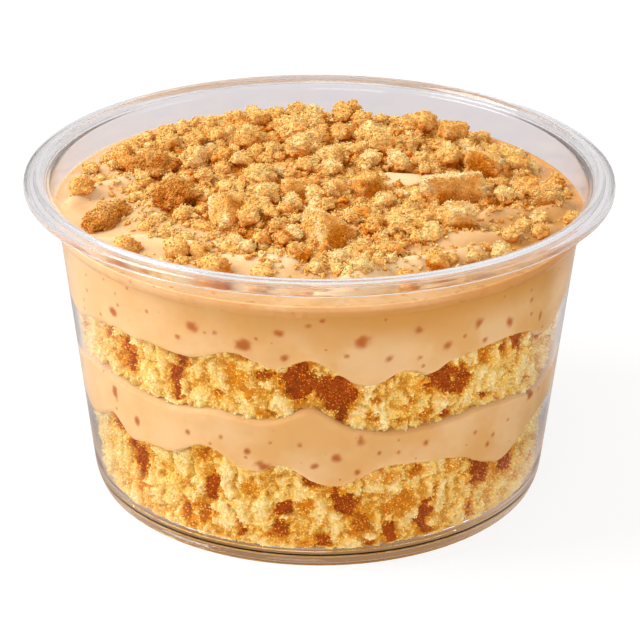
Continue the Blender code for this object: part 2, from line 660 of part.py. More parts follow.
def spot_in_heap(draw):
    """A random place inside the heap's outline, even over its area."""
    angle = draw.uniform(0.0, math.tau)
    radius = float(outline_radius(np.float64(angle))) * math.sqrt(draw.random()) * 0.98
    return radius * math.cos(angle), radius * math.sin(angle)


def spot_on_cream(draw):
    """A random place between the heap's outline and the wall."""
    angle = draw.uniform(0.0, math.tau)
    inner = float(outline_radius(np.float64(angle))) + 0.002
    radius = draw.uniform(inner, 0.0505)
    return radius * math.cos(angle), radius * math.sin(angle)


def fuse_heap_crumbs(heap, cream_tree, chunk_trees):
    """Fuse the crumbs that show to the heap, clear of the cream and the chunks."""
    core_tree = surface_tree(heap)
    bed = CrumbBed(HEAP_SEED, chunk_trees)

    def height_at(x, y, radius):
        return height_on(core_tree, x, y, CREAM_LEVEL) + HEAP_RISE * min(radius, CRUMB_TALL)

    def floor_at(x, y):
        return height_on(cream_tree, x, y, CREAM_LEVEL) + LAYER_GAP + CRUMB_SEAT

    for x, y, radius in HEAP_LUMPS:
        bed.try_crumb(x, y, radius, height_at(x, y, radius), HEAP_CROWDING, floor_at(x, y))
    bed.scatter(HEAP_CRUMBS, spot_in_heap, height_at, HEAP_CROWDING, floor_at)
    apply_boolean(heap, 'UNION', collection=bed.collection)
    keep_main_body(heap)


def fuse_cream_crumbs(cream, cream_tree, near_trees):
    """Fuse the loose crumbs that lie on bare cream, clear of the heap and the clumps."""
    bed = CrumbBed(CREAM_SEED, near_trees)

    def height_at(x, y, radius):
        return height_on(cream_tree, x, y, CREAM_LEVEL) + CREAM_RISE * radius

    for x, y, radius in LONE_CRUMBS:
        bed.try_crumb(x, y, radius, height_at(x, y, radius), LONE_CROWDING)
    bed.scatter(CREAM_CRUMBS, spot_on_cream, height_at, CREAM_CROWDING)
    apply_boolean(cream, 'UNION', collection=bed.collection)
    keep_main_body(cream)


# ---------------------------------------------------------------- chunks
def set_top(work, x, y, top):
    """Move a piece so that it is centred on x, y and its highest point is at top."""
    highest = max(vertex.co.z for vertex in work.verts)
    bmesh.ops.translate(work, verts=work.verts, vec=(x, y, top - highest))


def block_corners(x, y, top, size, turn):
    """The eight corners of a block that is turned and then set with its highest one at top."""
    rotation = Euler([math.radians(value) for value in turn]).to_matrix()
    signs = [(a, b, c) for c in (-1, 1) for b in (-1, 1) for a in (-1, 1)]
    corners = [rotation @ Vector(0.5 * a * b for a, b in zip(sign, size)) for sign in signs]
    drop = Vector((x, y, top - max(corner.z for corner in corners)))
    return [corner + drop for corner in corners]


def build_biscuit(name, corners, cuts, seed, material):
    """A broken piece of biscuit: eight corners, worn away a little, and rough faces."""
    draw = random.Random(seed)
    work = bmesh.new()
    bmesh.ops.create_cube(work, size=2.0)
    bmesh.ops.subdivide_edges(work, edges=work.edges, cuts=cuts, use_grid_fill=True)
    corners = [Vector(corner) for corner in corners]
    for vertex in work.verts:
        unit = vertex.co * (1.0 - WORN_SHARE * max(vertex.co.length - WORN_FROM, 0.0))
        shares = [(0.5 - 0.5 * value, 0.5 + 0.5 * value) for value in unit]
        place = Vector((0.0, 0.0, 0.0))
        for index, corner in enumerate(corners):
            place += corner * (shares[0][index % 2] * shares[1][index // 2 % 2] * shares[2][index // 4])
        jolt = Vector([draw.uniform(-BISCUIT_ROUGHNESS, BISCUIT_ROUGHNESS) for _ in range(3)])
        vertex.co = place + jolt
    bmesh.ops.triangulate(work, faces=work.faces)
    mesh = bpy.data.meshes.new(name)
    work.to_mesh(mesh)
    work.free()
    return new_object(name, mesh, material)


def build_clump(name, x, y, top, radii, turn, seed, material):
    """A browned cake clump: a squat lump with an uneven surface."""
    draw = random.Random(seed)
    work = bmesh.new()
    bmesh.ops.create_icosphere(work, subdivisions=2, radius=1.0)
    rotation = Euler((0.0, 0.0, math.radians(turn))).to_matrix()
    for vertex in work.verts:
        jolt = draw.uniform(*CLUMP_JOLT)
        vertex.co = rotation @ Vector(a * b * jolt for a, b in zip(vertex.co, radii))
    set_top(work, x, y, top)
    mesh = bpy.data.meshes.new(name)
    work.to_mesh(mesh)
    work.free()
    return new_object(name, mesh, material)


def build_chunks(heap, cream, biscuit_material, clump_material):
    """Every large topping, seated on the heap or on the cream with an even gap."""
    shapes = list(BISCUIT_BLOCKS)
    for name, x, y, top, size, turn, cuts in BISCUIT_CHUNKS:
        shapes.append((name, block_corners(x, y, top, size, turn), cuts))
    built = []
    for seed, (name, corners, cuts) in enumerate(shapes, start=BISCUIT_SEED):
        built.append(build_biscuit(name, corners, cuts, seed, biscuit_material))
    for seed, (name, x, y, top, radii, turn) in enumerate(CAKE_CLUMPS, start=CLUMP_SEED):
        built.append(build_clump(name, x, y, top, radii, turn, seed, clump_material))
    for piece in built:
        for carrier in (heap, cream):
            seat = seat_cutter(carrier)
            if surface_tree(seat).overlap(surface_tree(piece)):
                apply_boolean(piece, 'DIFFERENCE', other=seat)
            else:
                bpy.data.objects.remove(seat, do_unlink=True)
        keep_main_body(piece)
    return built


def main():
    """Build the tub, the four layers, the heap and what lies on it."""
    clear_scene()
    sponge = plain_material("sponge", (0.75, 0.41, 0.10), 0.9)
    cream = plain_material("cream", (0.73, 0.38, 0.13), 0.35)
    crumb = plain_material("biscuit_crumb", (0.77, 0.38, 0.12), 0.85)
    biscuit = plain_material("biscuit", (0.73, 0.36, 0.11), 0.8)
    clump = plain_material("browned_cake", (0.52, 0.15, 0.03), 0.85)

    build_tub()
    build_lower_sponge(sponge)
    build_lower_cream(cream)
    build_upper_sponge(sponge)
    top_cream = build_upper_cream(cream)
    cream_tree = surface_tree(top_cream)
    heap = build_heap_core(cream_tree, crumb)
    chunks = build_chunks(heap, top_cream, biscuit, clump)
    chunk_trees = [surface_tree(chunk) for chunk in chunks]
    fuse_heap_crumbs(heap, cream_tree, chunk_trees)
    fuse_cream_crumbs(top_cream, cream_tree, chunk_trees + [surface_tree(heap)])


main()
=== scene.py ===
"""Looks of a layered cake in a clear round tub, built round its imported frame.

Units are metres, +Z is up and the front is -Y. Bearings are degrees from the
front, positive towards +X; angles are radians from +X.
"""

import itertools
import logging
import math
from dataclasses import dataclass, field
from enum import Enum

import bpy
import numpy as np
from mathutils import Euler, Matrix, Vector


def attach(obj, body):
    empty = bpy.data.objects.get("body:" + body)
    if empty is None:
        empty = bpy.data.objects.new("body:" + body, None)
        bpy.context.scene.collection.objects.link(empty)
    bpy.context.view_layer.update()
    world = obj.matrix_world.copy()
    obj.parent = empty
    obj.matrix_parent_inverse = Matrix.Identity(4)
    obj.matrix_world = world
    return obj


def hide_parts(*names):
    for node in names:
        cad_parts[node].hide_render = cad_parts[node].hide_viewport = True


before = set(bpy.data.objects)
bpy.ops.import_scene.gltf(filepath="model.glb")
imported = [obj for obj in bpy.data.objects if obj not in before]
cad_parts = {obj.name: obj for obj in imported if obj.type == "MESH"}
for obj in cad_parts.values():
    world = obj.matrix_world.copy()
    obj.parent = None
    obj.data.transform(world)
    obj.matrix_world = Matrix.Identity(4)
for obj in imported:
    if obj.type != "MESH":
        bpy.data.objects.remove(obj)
log = logging.getLogger("jar_cake")

MM = 0.001
BODY = "root"
Array = np.ndarray
Triple = tuple[float, float, float]
Colour = Triple
Group = bpy.types.NodeTree
Material = bpy.types.Material
Node = bpy.types.Node
Socket = bpy.types.NodeSocket


# ---- random fields
LATTICE_PRIMES = (0x8DA6B343, 0xD8163841, 0xCB1AB31F)
CUBE_CORNERS = np.array(list(itertools.product((0, 1), repeat=3)))
CUBE_SIGNS = 2.0 * CUBE_CORNERS[:, ::-1] - 1.0
CELL_JITTER = 0.62


def lattice_draw(cells: Array, seed: int) -> Array:
    """Random numbers that stay fixed to the cells of an endless cubic lattice.

    Formula: the three cell numbers are folded into a 32-bit key by multiply and
    shift, and the key is divided by 2 to the power 32.

    Args:
        cells: whole numbers, the last axis holding x, y and z.
        seed: picks one of many independent lattices.

    Returns:
        One number from 0 to 1 for each cell.
    """
    key = np.full(cells.shape[:-1], seed * 7919 + 17, np.uint32)
    for axis, prime in enumerate(LATTICE_PRIMES):
        key = (key ^ cells[..., axis].astype(np.uint32)) * np.uint32(prime)
        key ^= key >> np.uint32(15)
    key *= np.uint32(0x2C1B3C6D)
    key ^= key >> np.uint32(13)
    return key / 4294967296.0


def fractal_noise(points: Array, size: float, seed: int, octaves: int = 3) -> Array:
    """Smooth noise on several scales.

    Formula: in each octave the eight lattice numbers round a point are blended
    by S-curves; each octave is half as wide and half as strong as the last.

    Args:
        points: positions, the last axis holding x, y and z.
        size: width of the largest lumps.
        seed: picks the pattern.
        octaves: number of scales.

    Returns:
        A value at each point, from -1 to 1 for one octave.
    """
    total = np.zeros(points.shape[:-1])
    for octave in range(octaves):
        scaled = points / (size / 2 ** octave)
        corner = np.floor(scaled).astype(np.int64)
        part = scaled - corner
        blend = part * part * (3.0 - 2.0 * part)
        mixed = np.zeros_like(total)
        for offset in CUBE_CORNERS:
            weight = np.prod(np.where(offset == 1, blend, 1.0 - blend), axis=-1)
            mixed += weight * lattice_draw(corner + offset, seed + octave)
        total += (2.0 * mixed - 1.0) / 2 ** octave
    return total


def noise_vectors(points: Array, size: float, seed: int, octaves: int = 3) -> Array:
    """Three independent fractal noises, as a vector at each point."""
    return np.stack([fractal_noise(points, size, seed + axis, octaves) for axis in range(3)], axis=-1)


def smoothstep(low: float, high: float, value: Array) -> Array:
    """0 below low, 1 above high, and an even S-curve between them."""
    part = np.clip((value - low) / (high - low), 0.0, 1.0)
    return part * part * (3.0 - 2.0 * part)


@dataclass
class Cells:
    """Cell noise at points: how near the two closest seeds are, the closest one's tone and its home."""

    nearest: Array
    second: Array
    tone: Array
    home: Array

    @property
    def dome(self) -> Array:
        """A rounded bump on every seed, 1 at its top and 0 between seeds."""
        return np.clip(1.0 - (self.nearest / 0.74) ** 2, 0.0, 1.0)

    def bumps(self, least: float = 0.0) -> Array:
        """The domes, each scaled by its tone to between a least share and 1."""
        return self.dome * (least + (1.0 - least) * self.tone)

    def parted(self, width: float) -> Array:
        """0 where two cells meet, rising to 1 a width inside them."""
        return smoothstep(0.0, width, self.second - self.nearest)


def cell_noise(points: Array, size: float, seed: int) -> Cells:
    """Cell noise: one jolted seed to each lattice cell, and distances to the closest.

    Args:
        points: positions, the last axis holding x, y and z.
        size: width of a cell.
        seed: picks the pattern.

    Returns:
        Distances in cell widths, and the closest seed's tone and place.
    """
    scaled = points / size
    base = np.floor(scaled - 0.5).astype(np.int64)
    nearest = np.full(points.shape[:-1], 9.0)
    second = nearest.copy()
    tone = np.zeros_like(nearest)
    home = np.zeros_like(points)
    for offset in CUBE_CORNERS:
        cell = base + offset
        jolt = np.stack([lattice_draw(cell, seed + axis) for axis in range(3)], axis=-1) - 0.5
        spot = cell + 0.5 + CELL_JITTER * jolt
        distance = np.linalg.norm(scaled - spot, axis=-1)
        closer = distance < nearest
        home = np.where(closer[..., None], spot, home)
        second = np.where(closer, nearest, np.minimum(second, distance))
        tone = np.where(closer, lattice_draw(cell, seed + 3), tone)
        nearest = np.where(closer, distance, nearest)
    return Cells(nearest, second, tone, home * size)


# ---- points and meshes
def rows(width: int, scale: object, *numbers: float) -> Array:
    """Numbers in rows of a width, divided by one scale or by a scale for each column."""
    return np.reshape(numbers, (-1, width)) / scale


def points_at(x: Array, y: Array, z: Array | float = 0.0) -> Array:
    """Points from their coordinates."""
    return np.stack(np.broadcast_arrays(x, y, z), axis=-1)


def polar(radius: Array | float, angle: Array, z: Array | float = 0.0) -> Array:
    """Points from radius, angle and height."""
    return points_at(radius * np.cos(angle), radius * np.sin(angle), z)


def round_angles(columns: int) -> Array:
    """Even angles right round the upright axis, from +X."""
    return np.arange(columns) * (2.0 * math.pi / columns)


def unit(vectors: Array) -> Array:
    """Vectors brought to a length of 1."""
    return vectors / np.maximum(np.linalg.norm(vectors, axis=-1, keepdims=True), 1e-20)


def linked(name: str, data: bpy.types.ID) -> bpy.types.Object:
    """A new object in the scene."""
    thing = bpy.data.objects.new(name, data)
    bpy.context.scene.collection.objects.link(thing)
    return thing


@dataclass
class Shell:
    """Points, faces and values of a mesh in the making, and its object once built."""

    points: Array
    quads: Array
    triangles: Array = field(default_factory=lambda: np.zeros((0, 3), np.int64))
    values: dict[str, Array] = field(default_factory=dict)
    piece: bpy.types.Object | None = None

    def facings(self) -> Array:
        """The summed cross products of the faces round each point: its normal times its area."""
        total = np.zeros_like(self.points)
        for faces in filter(len, (self.quads, self.triangles)):
            a, b, c = (self.points[faces[:, i]] for i in (0, 1, 2))
            d = self.points[faces[:, -1]]
            cross = np.cross(c - a, d - b) if faces.shape[1] == 4 else np.cross(b - a, c - a)
            for corner, axis in itertools.product(range(faces.shape[1]), range(3)):
                total[:, axis] += np.bincount(faces[:, corner], cross[:, axis], len(total))
        return total

    def lower_to(self, ceiling: float) -> None:
        """Press down whatever stands above a ceiling."""
        self.points[:, 2] = np.minimum(self.points[:, 2], ceiling)

    def build(self, name: str, material: Material, slot: str, *nodes: str, smooth: bool = True) -> None:
        """Put the shell in the scene as one mesh at the origin, and hang it on the body.

        Args:
            name: the piece's name.
            material: its finish.
            slot: not used; meant as its material slot.
            *nodes: the CAD nodes that it stands for.
            smooth: True for rounded shading, False for facets.
        """
        mesh = bpy.data.meshes.new(name)
        corners = np.concatenate([self.quads.ravel(), self.triangles.ravel()]).astype(np.int32)
        sides = np.repeat([4, 3], [len(self.quads), len(self.triangles)])
        mesh.vertices.add(len(self.points))
        mesh.vertices.foreach_set("co", self.points.astype(np.float32).ravel())
        mesh.loops.add(len(corners))
        mesh.loops.foreach_set("vertex_index", corners)
        mesh.polygons.add(len(sides))
        mesh.polygons.foreach_set("loop_start", (np.cumsum(sides) - sides).astype(np.int32))
        mesh.polygons.foreach_set("loop_total", sides.astype(np.int32))
        mesh.polygons.foreach_set("use_smooth", np.full(len(sides), smooth))
        mesh.update(calc_edges=True)
        mesh.validate()
        mesh.materials.append(material)
        self.piece = linked(name, mesh)
        for title, value in self.values.items():
            self.carry(title, value)
        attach(self.piece, BODY)
        if nodes:
            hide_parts(*nodes)
        log.info("%-24s %7d triangles", name, np.sum(sides - 2))

    def carry(self, name: str, value: Array) -> None:
        """Keep a value at each point, and on the built mesh."""
        self.values[name] = value
        layer = self.piece.data.attributes.new(name, 'FLOAT', 'POINT')
        layer.data.foreach_set("value", value.astype(np.float32))


def joined(shells: list[Shell]) -> Shell:
    """Several shells as one, keeping the values that all of them carry."""
    starts = np.cumsum([0] + [len(shell.points) for shell in shells[:-1]])
    names = set.intersection(*(set(shell.values) for shell in shells))
    return Shell(
        np.concatenate([shell.points for shell in shells]),
        np.concatenate([shell.quads + start for shell, start in zip(shells, starts)]),
        np.concatenate([shell.triangles + start for shell, start in zip(shells, starts)]),
        {name: np.concatenate([shell.values[name] for shell in shells]) for name in sorted(names)},
    )


def turned_shell(rings: Array, low: float, high: float) -> Shell:
    """A closed round body: quads between rings, and a fan of triangles at each pole.

    Args:
        rings: points by ring, column and axis, from the underside to the top.
        low: height of the pole that closes the first ring.
        high: height of the pole that closes the last ring.

    Returns:
        The shell.
    """
    count, columns = rings.shape[:2]
    index = np.arange(count * columns).reshape(count, columns)
    beside = np.roll(index, -1, axis=1)
    quads = np.stack([index[:-1], beside[:-1], beside[1:], index[1:]], axis=-1).reshape(-1, 4)
    poles = count * columns + np.arange(2)
    under = np.stack([np.full(columns, poles[0]), beside[0], index[0]], axis=-1)
    over = np.stack([np.full(columns, poles[1]), index[-1], beside[-1]], axis=-1)
    points = np.concatenate([rings.reshape(-1, 3), [[0.0, 0.0, low], [0.0, 0.0, high]]])
    return Shell(points, quads, np.concatenate([under, over]))


def cube_sphere(cuts: int) -> tuple[Array, Array]:
    """The surface of a cube cut evenly, as directions from its centre.

    Args:
        cuts: cells along each edge.

    Returns:
        Points on the faces of a cube from -1 to 1, and its quads, facing out.
    """
    u, v = (part.ravel() for part in np.meshgrid(np.arange(cuts), np.arange(cuts), indexing="ij"))
    square = np.array([[u, u + 1, u + 1, u], [v, v, v + 1, v + 1]]).transpose(0, 2, 1)
    sides = []
    for axis, side in itertools.product(range(3), (0, cuts)):
        quad = np.full((len(u), 4, 3), side)
        quad[:, :, (axis + 1) % 3], quad[:, :, (axis + 2) % 3] = square if side else square[..., ::-1]
        sides.append(quad)
    unique, inverse = np.unique(np.concatenate(sides).reshape(-1, 3), axis=0, return_inverse=True)
    return unique * (2.0 / cuts) - 1.0, inverse.reshape(-1, 4)


def random_turns(draw: np.random.Generator, count: int) -> Array:
    """Even random rotations, from unit quaternions, as matrices."""
    w, x, y, z = unit(draw.normal(size=(count, 4))).T
    return np.stack([
        1 - 2 * (y * y + z * z), 2 * (x * y - z * w), 2 * (x * z + y * w),
        2 * (x * y + z * w), 1 - 2 * (x * x + z * z), 2 * (y * z - x * w),
        2 * (x * z - y * w), 2 * (y * z + x * w), 1 - 2 * (x * x + y * y),
    ], axis=-1).reshape(-1, 3, 3)


# ---- shader trees
class Tree:
    """A node tree with short ways to add nodes and feed their sockets."""

    def __init__(self, tree: Group) -> None:
        """Keep the tree that nodes go into."""
        self.tree = tree

    def feed(self, socket: Socket, value: object) -> None:
        """Link an output socket to an input, or set the input's own value."""
        if isinstance(value, Socket):
            self.tree.links.new(value, socket)
        elif isinstance(value, tuple) and socket.type == 'RGBA':
            socket.default_value = (*value, 1.0)
        else:
            socket.default_value = value

    def fill(self, node: Node, *values: object, **named: object) -> Node:
        """Set up a node.

        Args:
            node: the node.
            *values: a value or an output socket for its first inputs, in order.
            **named: the same by name, with _ for a space, and in small letters its own settings.

        Returns:
            The node.
        """
        for key in filter(str.islower, list(named)):
            setattr(node, key, named.pop(key))
        for socket, value in zip(node.inputs, values):
            self.feed(socket, value)
        for key, value in named.items():
            self.feed(node.inputs[key.replace("_", " ")], value)
        return node

    def add(self, kind: str, *values: object, **named: object) -> Node:
        """A new node of a kind, set up as fill does it."""
        return self.fill(self.tree.nodes.new("ShaderNode" + kind), *values, **named)

    def get(self, kind: str, *values: object, **named: object) -> Socket:
        """The first output of a new node."""
        return self.add(kind, *values, **named).outputs[0]

    def group(self, group: Group, **named: object) -> list[Socket]:
        """The outputs of a node group placed with its own values."""
        return self.add("Group", node_tree=group, **named).outputs

    def place(self) -> Socket:
        """The point's place on its own object."""
        return self.add("TexCoord").outputs["Object"]

    def axes(self) -> list[Socket]:
        """The three coordinates of the point's place."""
        return self.add("SeparateXYZ", self.place()).outputs

    def value(self, name: str) -> Socket:
        """A value that the mesh carries at its points."""
        return self.add("Attribute", attribute_name=name).outputs["Fac"]

    def noise(self, size: float, detail: float = 2.0) -> Socket:
        """Noise on the object, with lumps about as wide as size."""
        return self.get("TexNoise", Vector=self.place(), Scale=1.0 / size, Detail=detail)

    def frayed(self, scale: object, reach: float) -> Socket:
        """The point's place, jolted this way and that by noise."""
        jolt = self.add("TexNoise", Vector=self.place(), Scale=scale, Detail=2.0).outputs["Color"]
        jolt = self.get("VectorMath", jolt, Scale=reach, operation='SCALE')
        return self.get("VectorMath", self.place(), jolt, operation='ADD')

    def math(self, operation: str, first: object, *others: object) -> Socket:
        """One sum, worked on one value or on two or more in turn."""
        for other in others or (0.0,):
            first = self.get("Math", first, other, operation=operation)
        return first

    def ramp(self, value: object, low: float, high: float, start: float = 0.0, end: float = 1.0) -> Socket:
        """A value carried smoothly from one range to another and held at its ends."""
        return self.get("MapRange", Value=value, From_Min=low, From_Max=high, To_Min=start, To_Max=end,
                        interpolation_type='SMOOTHSTEP')

    def mix(self, factor: object, a: object, b: object) -> Socket:
        """Colour a, going to colour b as the factor goes from 0 to 1."""
        node = self.add("Mix", factor, data_type='RGBA')
        self.feed(node.inputs[6], a)
        self.feed(node.inputs[7], b)
        return node.outputs[2]

    def shade(self, **named: object) -> Socket:
        """Set up the Principled shader, and give its output."""
        return self.fill(self.tree.nodes["Principled BSDF"], **named).outputs[0]

    def bump(self, height: Socket, depth: float, strength: float) -> None:
        """Raise the surface of the Principled shader by a height of up to depth."""
        self.shade(Normal=self.get("Bump", Height=height, Distance=depth, Strength=strength))

    def show(self, surface: Socket) -> None:
        """Make a shader the material's surface."""
        self.fill(self.tree.nodes["Material Output"], Surface=surface)


def new_group(name: str, inputs: dict[str, str], outputs: dict[str, str]) -> tuple[Tree, list[Socket], Node]:
    """An empty node group.

    Args:
        name: the group's name.
        inputs: name and kind, Float or Color, of each input.
        outputs: the same for each output.

    Returns:
        Its tree, the sockets that bring its inputs, and its output node.
    """
    group = bpy.data.node_groups.new(name, 'ShaderNodeTree')
    for side, sockets in (('INPUT', inputs), ('OUTPUT', outputs)):
        for title, kind in sockets.items():
            group.interface.new_socket(title, in_out=side, socket_type="NodeSocket" + kind)
    return Tree(group), group.nodes.new("NodeGroupInput").outputs, group.nodes.new("NodeGroupOutput")


def crumb_grain_group() -> Group:
    """Fine grains of baked crumb: a height for the bump and a mask of their tips."""
    tree, inputs, ends = new_group("crumb_grain", {"Grain Size": "Float"},
                                   {"Height": "Float", "Tips": "Float"})
    scale = tree.math('DIVIDE', 1.0, inputs[0])
    fine = tree.math('MULTIPLY', scale, 2.3)
    place = tree.frayed(fine, 0.00025)
    bump = tree.ramp(tree.get("TexVoronoi", Vector=place, Scale=scale, Randomness=1.0), 0.0, 0.75, 1.0, 0.0)
    rough = tree.get("TexNoise", Vector=place, Scale=fine, Detail=3.0)
    height = tree.math('ADD', bump, tree.math('MULTIPLY', rough, 0.8))
    tree.fill(ends, height, tree.ramp(height, 0.75, 1.35))
    return tree.tree


def tone_drift_group() -> Group:
    """A colour made a little lighter and darker in slow and quick patches."""
    tree, inputs, ends = new_group("tone_drift", {"Color": "Color", "Patch Size": "Float",
                                                  "Strength": "Float"}, {"Color": "Color"})
    scale = tree.math('DIVIDE', 1.0, inputs[1])
    slow = tree.get("TexNoise", Vector=tree.place(), Scale=scale, Detail=3.0)
    spread = tree.math('MULTIPLY', tree.math('SUBTRACT', slow, 0.5), inputs[2])
    value = tree.math('ADD', 1.0, spread)
    tree.fill(ends, tree.get("HueSaturation", Color=inputs[0], Value=value))
    return tree.tree


def speck_group() -> Group:
    """Round specks of uneven size strewn through a filling, as a mask."""
    tree, inputs, ends = new_group("specks", {"Spacing": "Float", "Reach": "Float", "Share": "Float"},
                                   {"Mask": "Float"})
    scale = tree.math('DIVIDE', 1.0, inputs[0])
    cells = tree.add("TexVoronoi", Vector=tree.frayed(2600.0, 0.00035), Scale=scale, Randomness=0.9)
    chance = tree.add("SeparateColor", cells.outputs["Color"]).outputs
    size = tree.math('MULTIPLY', inputs[1], tree.ramp(chance[1], 0.0, 1.0, 0.35, 1.0))
    there = tree.math('LESS_THAN', chance[0], inputs[2])
    spot = tree.ramp(tree.math('DIVIDE', cells.outputs["Distance"], size), 0.55, 1.0, 1.0, 0.0)
    tree.fill(ends, tree.math('MULTIPLY', spot, there))
    return tree.tree


@dataclass(frozen=True)
class Groups:
    """The effects that several finishes share."""

    grain: Group
    drift: Group
    specks: Group


def new_finish(name: str) -> tuple[Material, Tree]:
    """An empty Principled material and its tree."""
    material = bpy.data.materials.new(name)
    material.use_nodes = True
    return material, Tree(material.node_tree)


# ---- finishes
@dataclass(frozen=True)
class ClearPlastic:
    """Thin clear moulded plastic with a faint cool tint and slow waves from the mould."""

    tint: Colour = (0.985, 0.975, 0.985)
    shade: Colour = (0.97, 0.965, 0.97)
    haze: Colour = (0.95, 0.93, 0.94)

    def build(self) -> Material:
        """Glass for eyes and reflections, and plain clear for light on its way to the cake."""
        material, tree = new_finish("clear_plastic")
        height = tree.axes()[2]
        rough = tree.math('ADD', tree.ramp(tree.noise(0.006, 4.0), 0.35, 0.75, 0.015, 0.04),
                          tree.ramp(height, 0.0590, 0.0620, 0.0, 0.09))
        sheen = tree.ramp(height, 0.0560, 0.0610, 0.0, 0.32)
        tree.bump(tree.noise(0.009, 1.0), 0.0001, 0.10)
        glass = tree.shade(Base_Color=self.tint, IOR=1.47, Transmission_Weight=1.0, Roughness=rough,
                           Sheen_Weight=sheen, Sheen_Roughness=0.45, Sheen_Tint=self.haze)
        rays = tree.add("LightPath").outputs
        clear = tree.get("BsdfTransparent", Color=self.shade)
        lamps = tree.get("MixShader", rays["Is Diffuse Ray"], glass, clear)
        tree.show(tree.get("MixShader", rays["Is Shadow Ray"], lamps, clear))
        return material


@dataclass(frozen=True)
class CaramelCream:
    """Smooth glossy caramel cream with toffee specks through it."""

    groups: Groups
    name: str
    roughness: float = 0.32
    body: Colour = (0.63, 0.350, 0.125)
    thin: Colour = (0.69, 0.440, 0.215)
    # Golden: painted shade, for the cream under the tub's shoulder and towards the right, away from the key
    # light.
    golden: Colour = (0.53, 0.250, 0.058)
    # Pale: painted light, for the left of the cream where the key light falls.
    pale: Colour = (0.76, 0.500, 0.260)
    # Crest: a painted highlight on the high ridges of the top.
    crest: Colour = (0.82, 0.600, 0.340)
    speck: Colour = (0.41, 0.120, 0.028)

    def build(self) -> Material:
        """Body colour with slow drift, specks in two sizes and soft light inside, plus painted shade
        (golden under the shoulder and to the right), a painted highlight on the high ridges
        of the top and painted light towards the left.
        """
        material, tree = new_finish(self.name)
        x, _, z = tree.axes()
        colour = tree.mix(tree.ramp(tree.noise(0.011, 3.0), 0.34, 0.66), self.body, self.thin)
        # Painted shade: the side turns golden just under the shoulder, more so to the right, and the top
        # turns golden towards the right.
        below = tree.ramp(z, 0.0570, 0.0578, 1.0, 0.0)
        wall = tree.math('MULTIPLY', tree.ramp(z, 0.0470, 0.0558, 0.0, 0.95),
                         tree.ramp(x, -0.030, 0.020, 0.45, 1.0), below)
        over = tree.math('MULTIPLY', tree.ramp(x, 0.006, 0.038, 0.12, 0.95),
                         tree.math('SUBTRACT', 1.0, below))
        colour = tree.mix(tree.math('ADD', wall, over), colour, self.golden)
        # Painted highlight: the highest ridges of the top are paler, less so to the right.
        crest = tree.math('MULTIPLY', tree.ramp(z, 0.0579, 0.0600, 0.0, 0.8),
                          tree.ramp(x, 0.015, 0.038, 1.0, 0.30))
        colour = tree.mix(crest, colour, self.crest)
        # Painted light: the cream grows paler towards the left.
        colour = tree.mix(tree.ramp(x, -0.018, -0.050, 0.0, 0.7), colour, self.pale)
        small, = tree.group(self.groups.specks, Spacing=0.0030, Reach=0.20, Share=0.7)
        large, = tree.group(self.groups.specks, Spacing=0.0085, Reach=0.10, Share=0.45)
        mask = tree.math('MAXIMUM', tree.math('MULTIPLY', small, 0.65), large, tree.value("speck"))
        drift, = tree.group(self.groups.drift, Color=tree.mix(mask, colour, self.speck),
                            Patch_Size=0.004, Strength=0.10)
        rough = tree.ramp(tree.noise(0.003, 3.0), 0.3, 0.7, self.roughness - 0.06, self.roughness + 0.12)
        tree.shade(Base_Color=drift, Roughness=rough, Subsurface_Weight=0.45,
                   Subsurface_Radius=(1.0, 0.50, 0.22), Subsurface_Scale=0.0026,
                   Specular_IOR_Level=tree.math('MULTIPLY', tree.value("wet"), 0.30))
        tree.bump(tree.noise(0.0016, 3.0), 0.00012, 0.30)
        return material


@dataclass(frozen=True)
class SpongeCrumb:
    """Pale yellow torn sponge with browned crust patches, its tips painted brighter and its hollows painted
    golden as shade.
    """

    groups: Groups
    # The tip and hollow colours paint the pale yellow crumb lighter on its high points and darker in its
    # hollows: painted light and painted shade.
    tip: Colour = (1.0, 0.755, 0.36)
    body: Colour = (0.94, 0.590, 0.135)
    painted_pit_shade: Colour = (0.74, 0.32, 0.030)
    golden: Colour = (0.76, 0.285, 0.012)
    golden_tip: Colour = (0.95, 0.54, 0.085)
    crust: Colour = (0.40, 0.068, 0.003)
    crust_tip: Colour = (0.80, 0.27, 0.030)

    def build(self) -> Material:
        """Colour by height in the crumb, as painted light on high points and painted shade in hollows; crust
        goes over it from golden to brown.
        """
        material, tree = new_finish("torn_sponge")
        height, tips = tree.group(self.groups.grain, Grain_Size=0.00060)
        jolt = tree.math('MULTIPLY', tree.math('SUBTRACT', tips, 0.5), 0.36)
        level = tree.math('ADD', tree.value("height"), jolt)
        # Painted shade and light: low points in the crumb take the darker colour, high ones the paler tip
        # colour.
        colour = tree.mix(tree.ramp(level, 0.02, 0.40), self.painted_pit_shade, self.body)
        colour = tree.mix(tree.ramp(level, 0.36, 0.82), colour, self.tip)
        # Painted highlight on the crust too: its high grains take the lighter tip colours.
        high = tree.ramp(tree.math('ADD', level, tips), 0.4, 1.5)
        crust = tree.math('ADD', tree.value("crust"), tree.math('MULTIPLY', jolt, -0.5))
        colour = tree.mix(tree.ramp(crust, 0.14, 0.50), colour, tree.mix(high, self.golden, self.golden_tip))
        colour = tree.mix(tree.ramp(crust, 0.46, 0.80), colour, tree.mix(high, self.crust, self.crust_tip))
        drift, = tree.group(self.groups.drift, Color=colour, Patch_Size=0.0035, Strength=0.30)
        # Painted highlight: grain tips are made up to a sixth brighter.
        lit = tree.get("HueSaturation", Color=drift, Value=tree.ramp(tips, 0.0, 1.0, 1.0, 1.16))
        tree.shade(Base_Color=lit, Roughness=tree.ramp(tips, 0.0, 1.0, 0.85, 0.62),
                   Subsurface_Weight=0.50, Subsurface_Radius=(1.0, 0.42, 0.12), Subsurface_Scale=0.0012,
                   Specular_IOR_Level=0.0)
        tree.bump(height, 0.00022, 0.65)
        return material


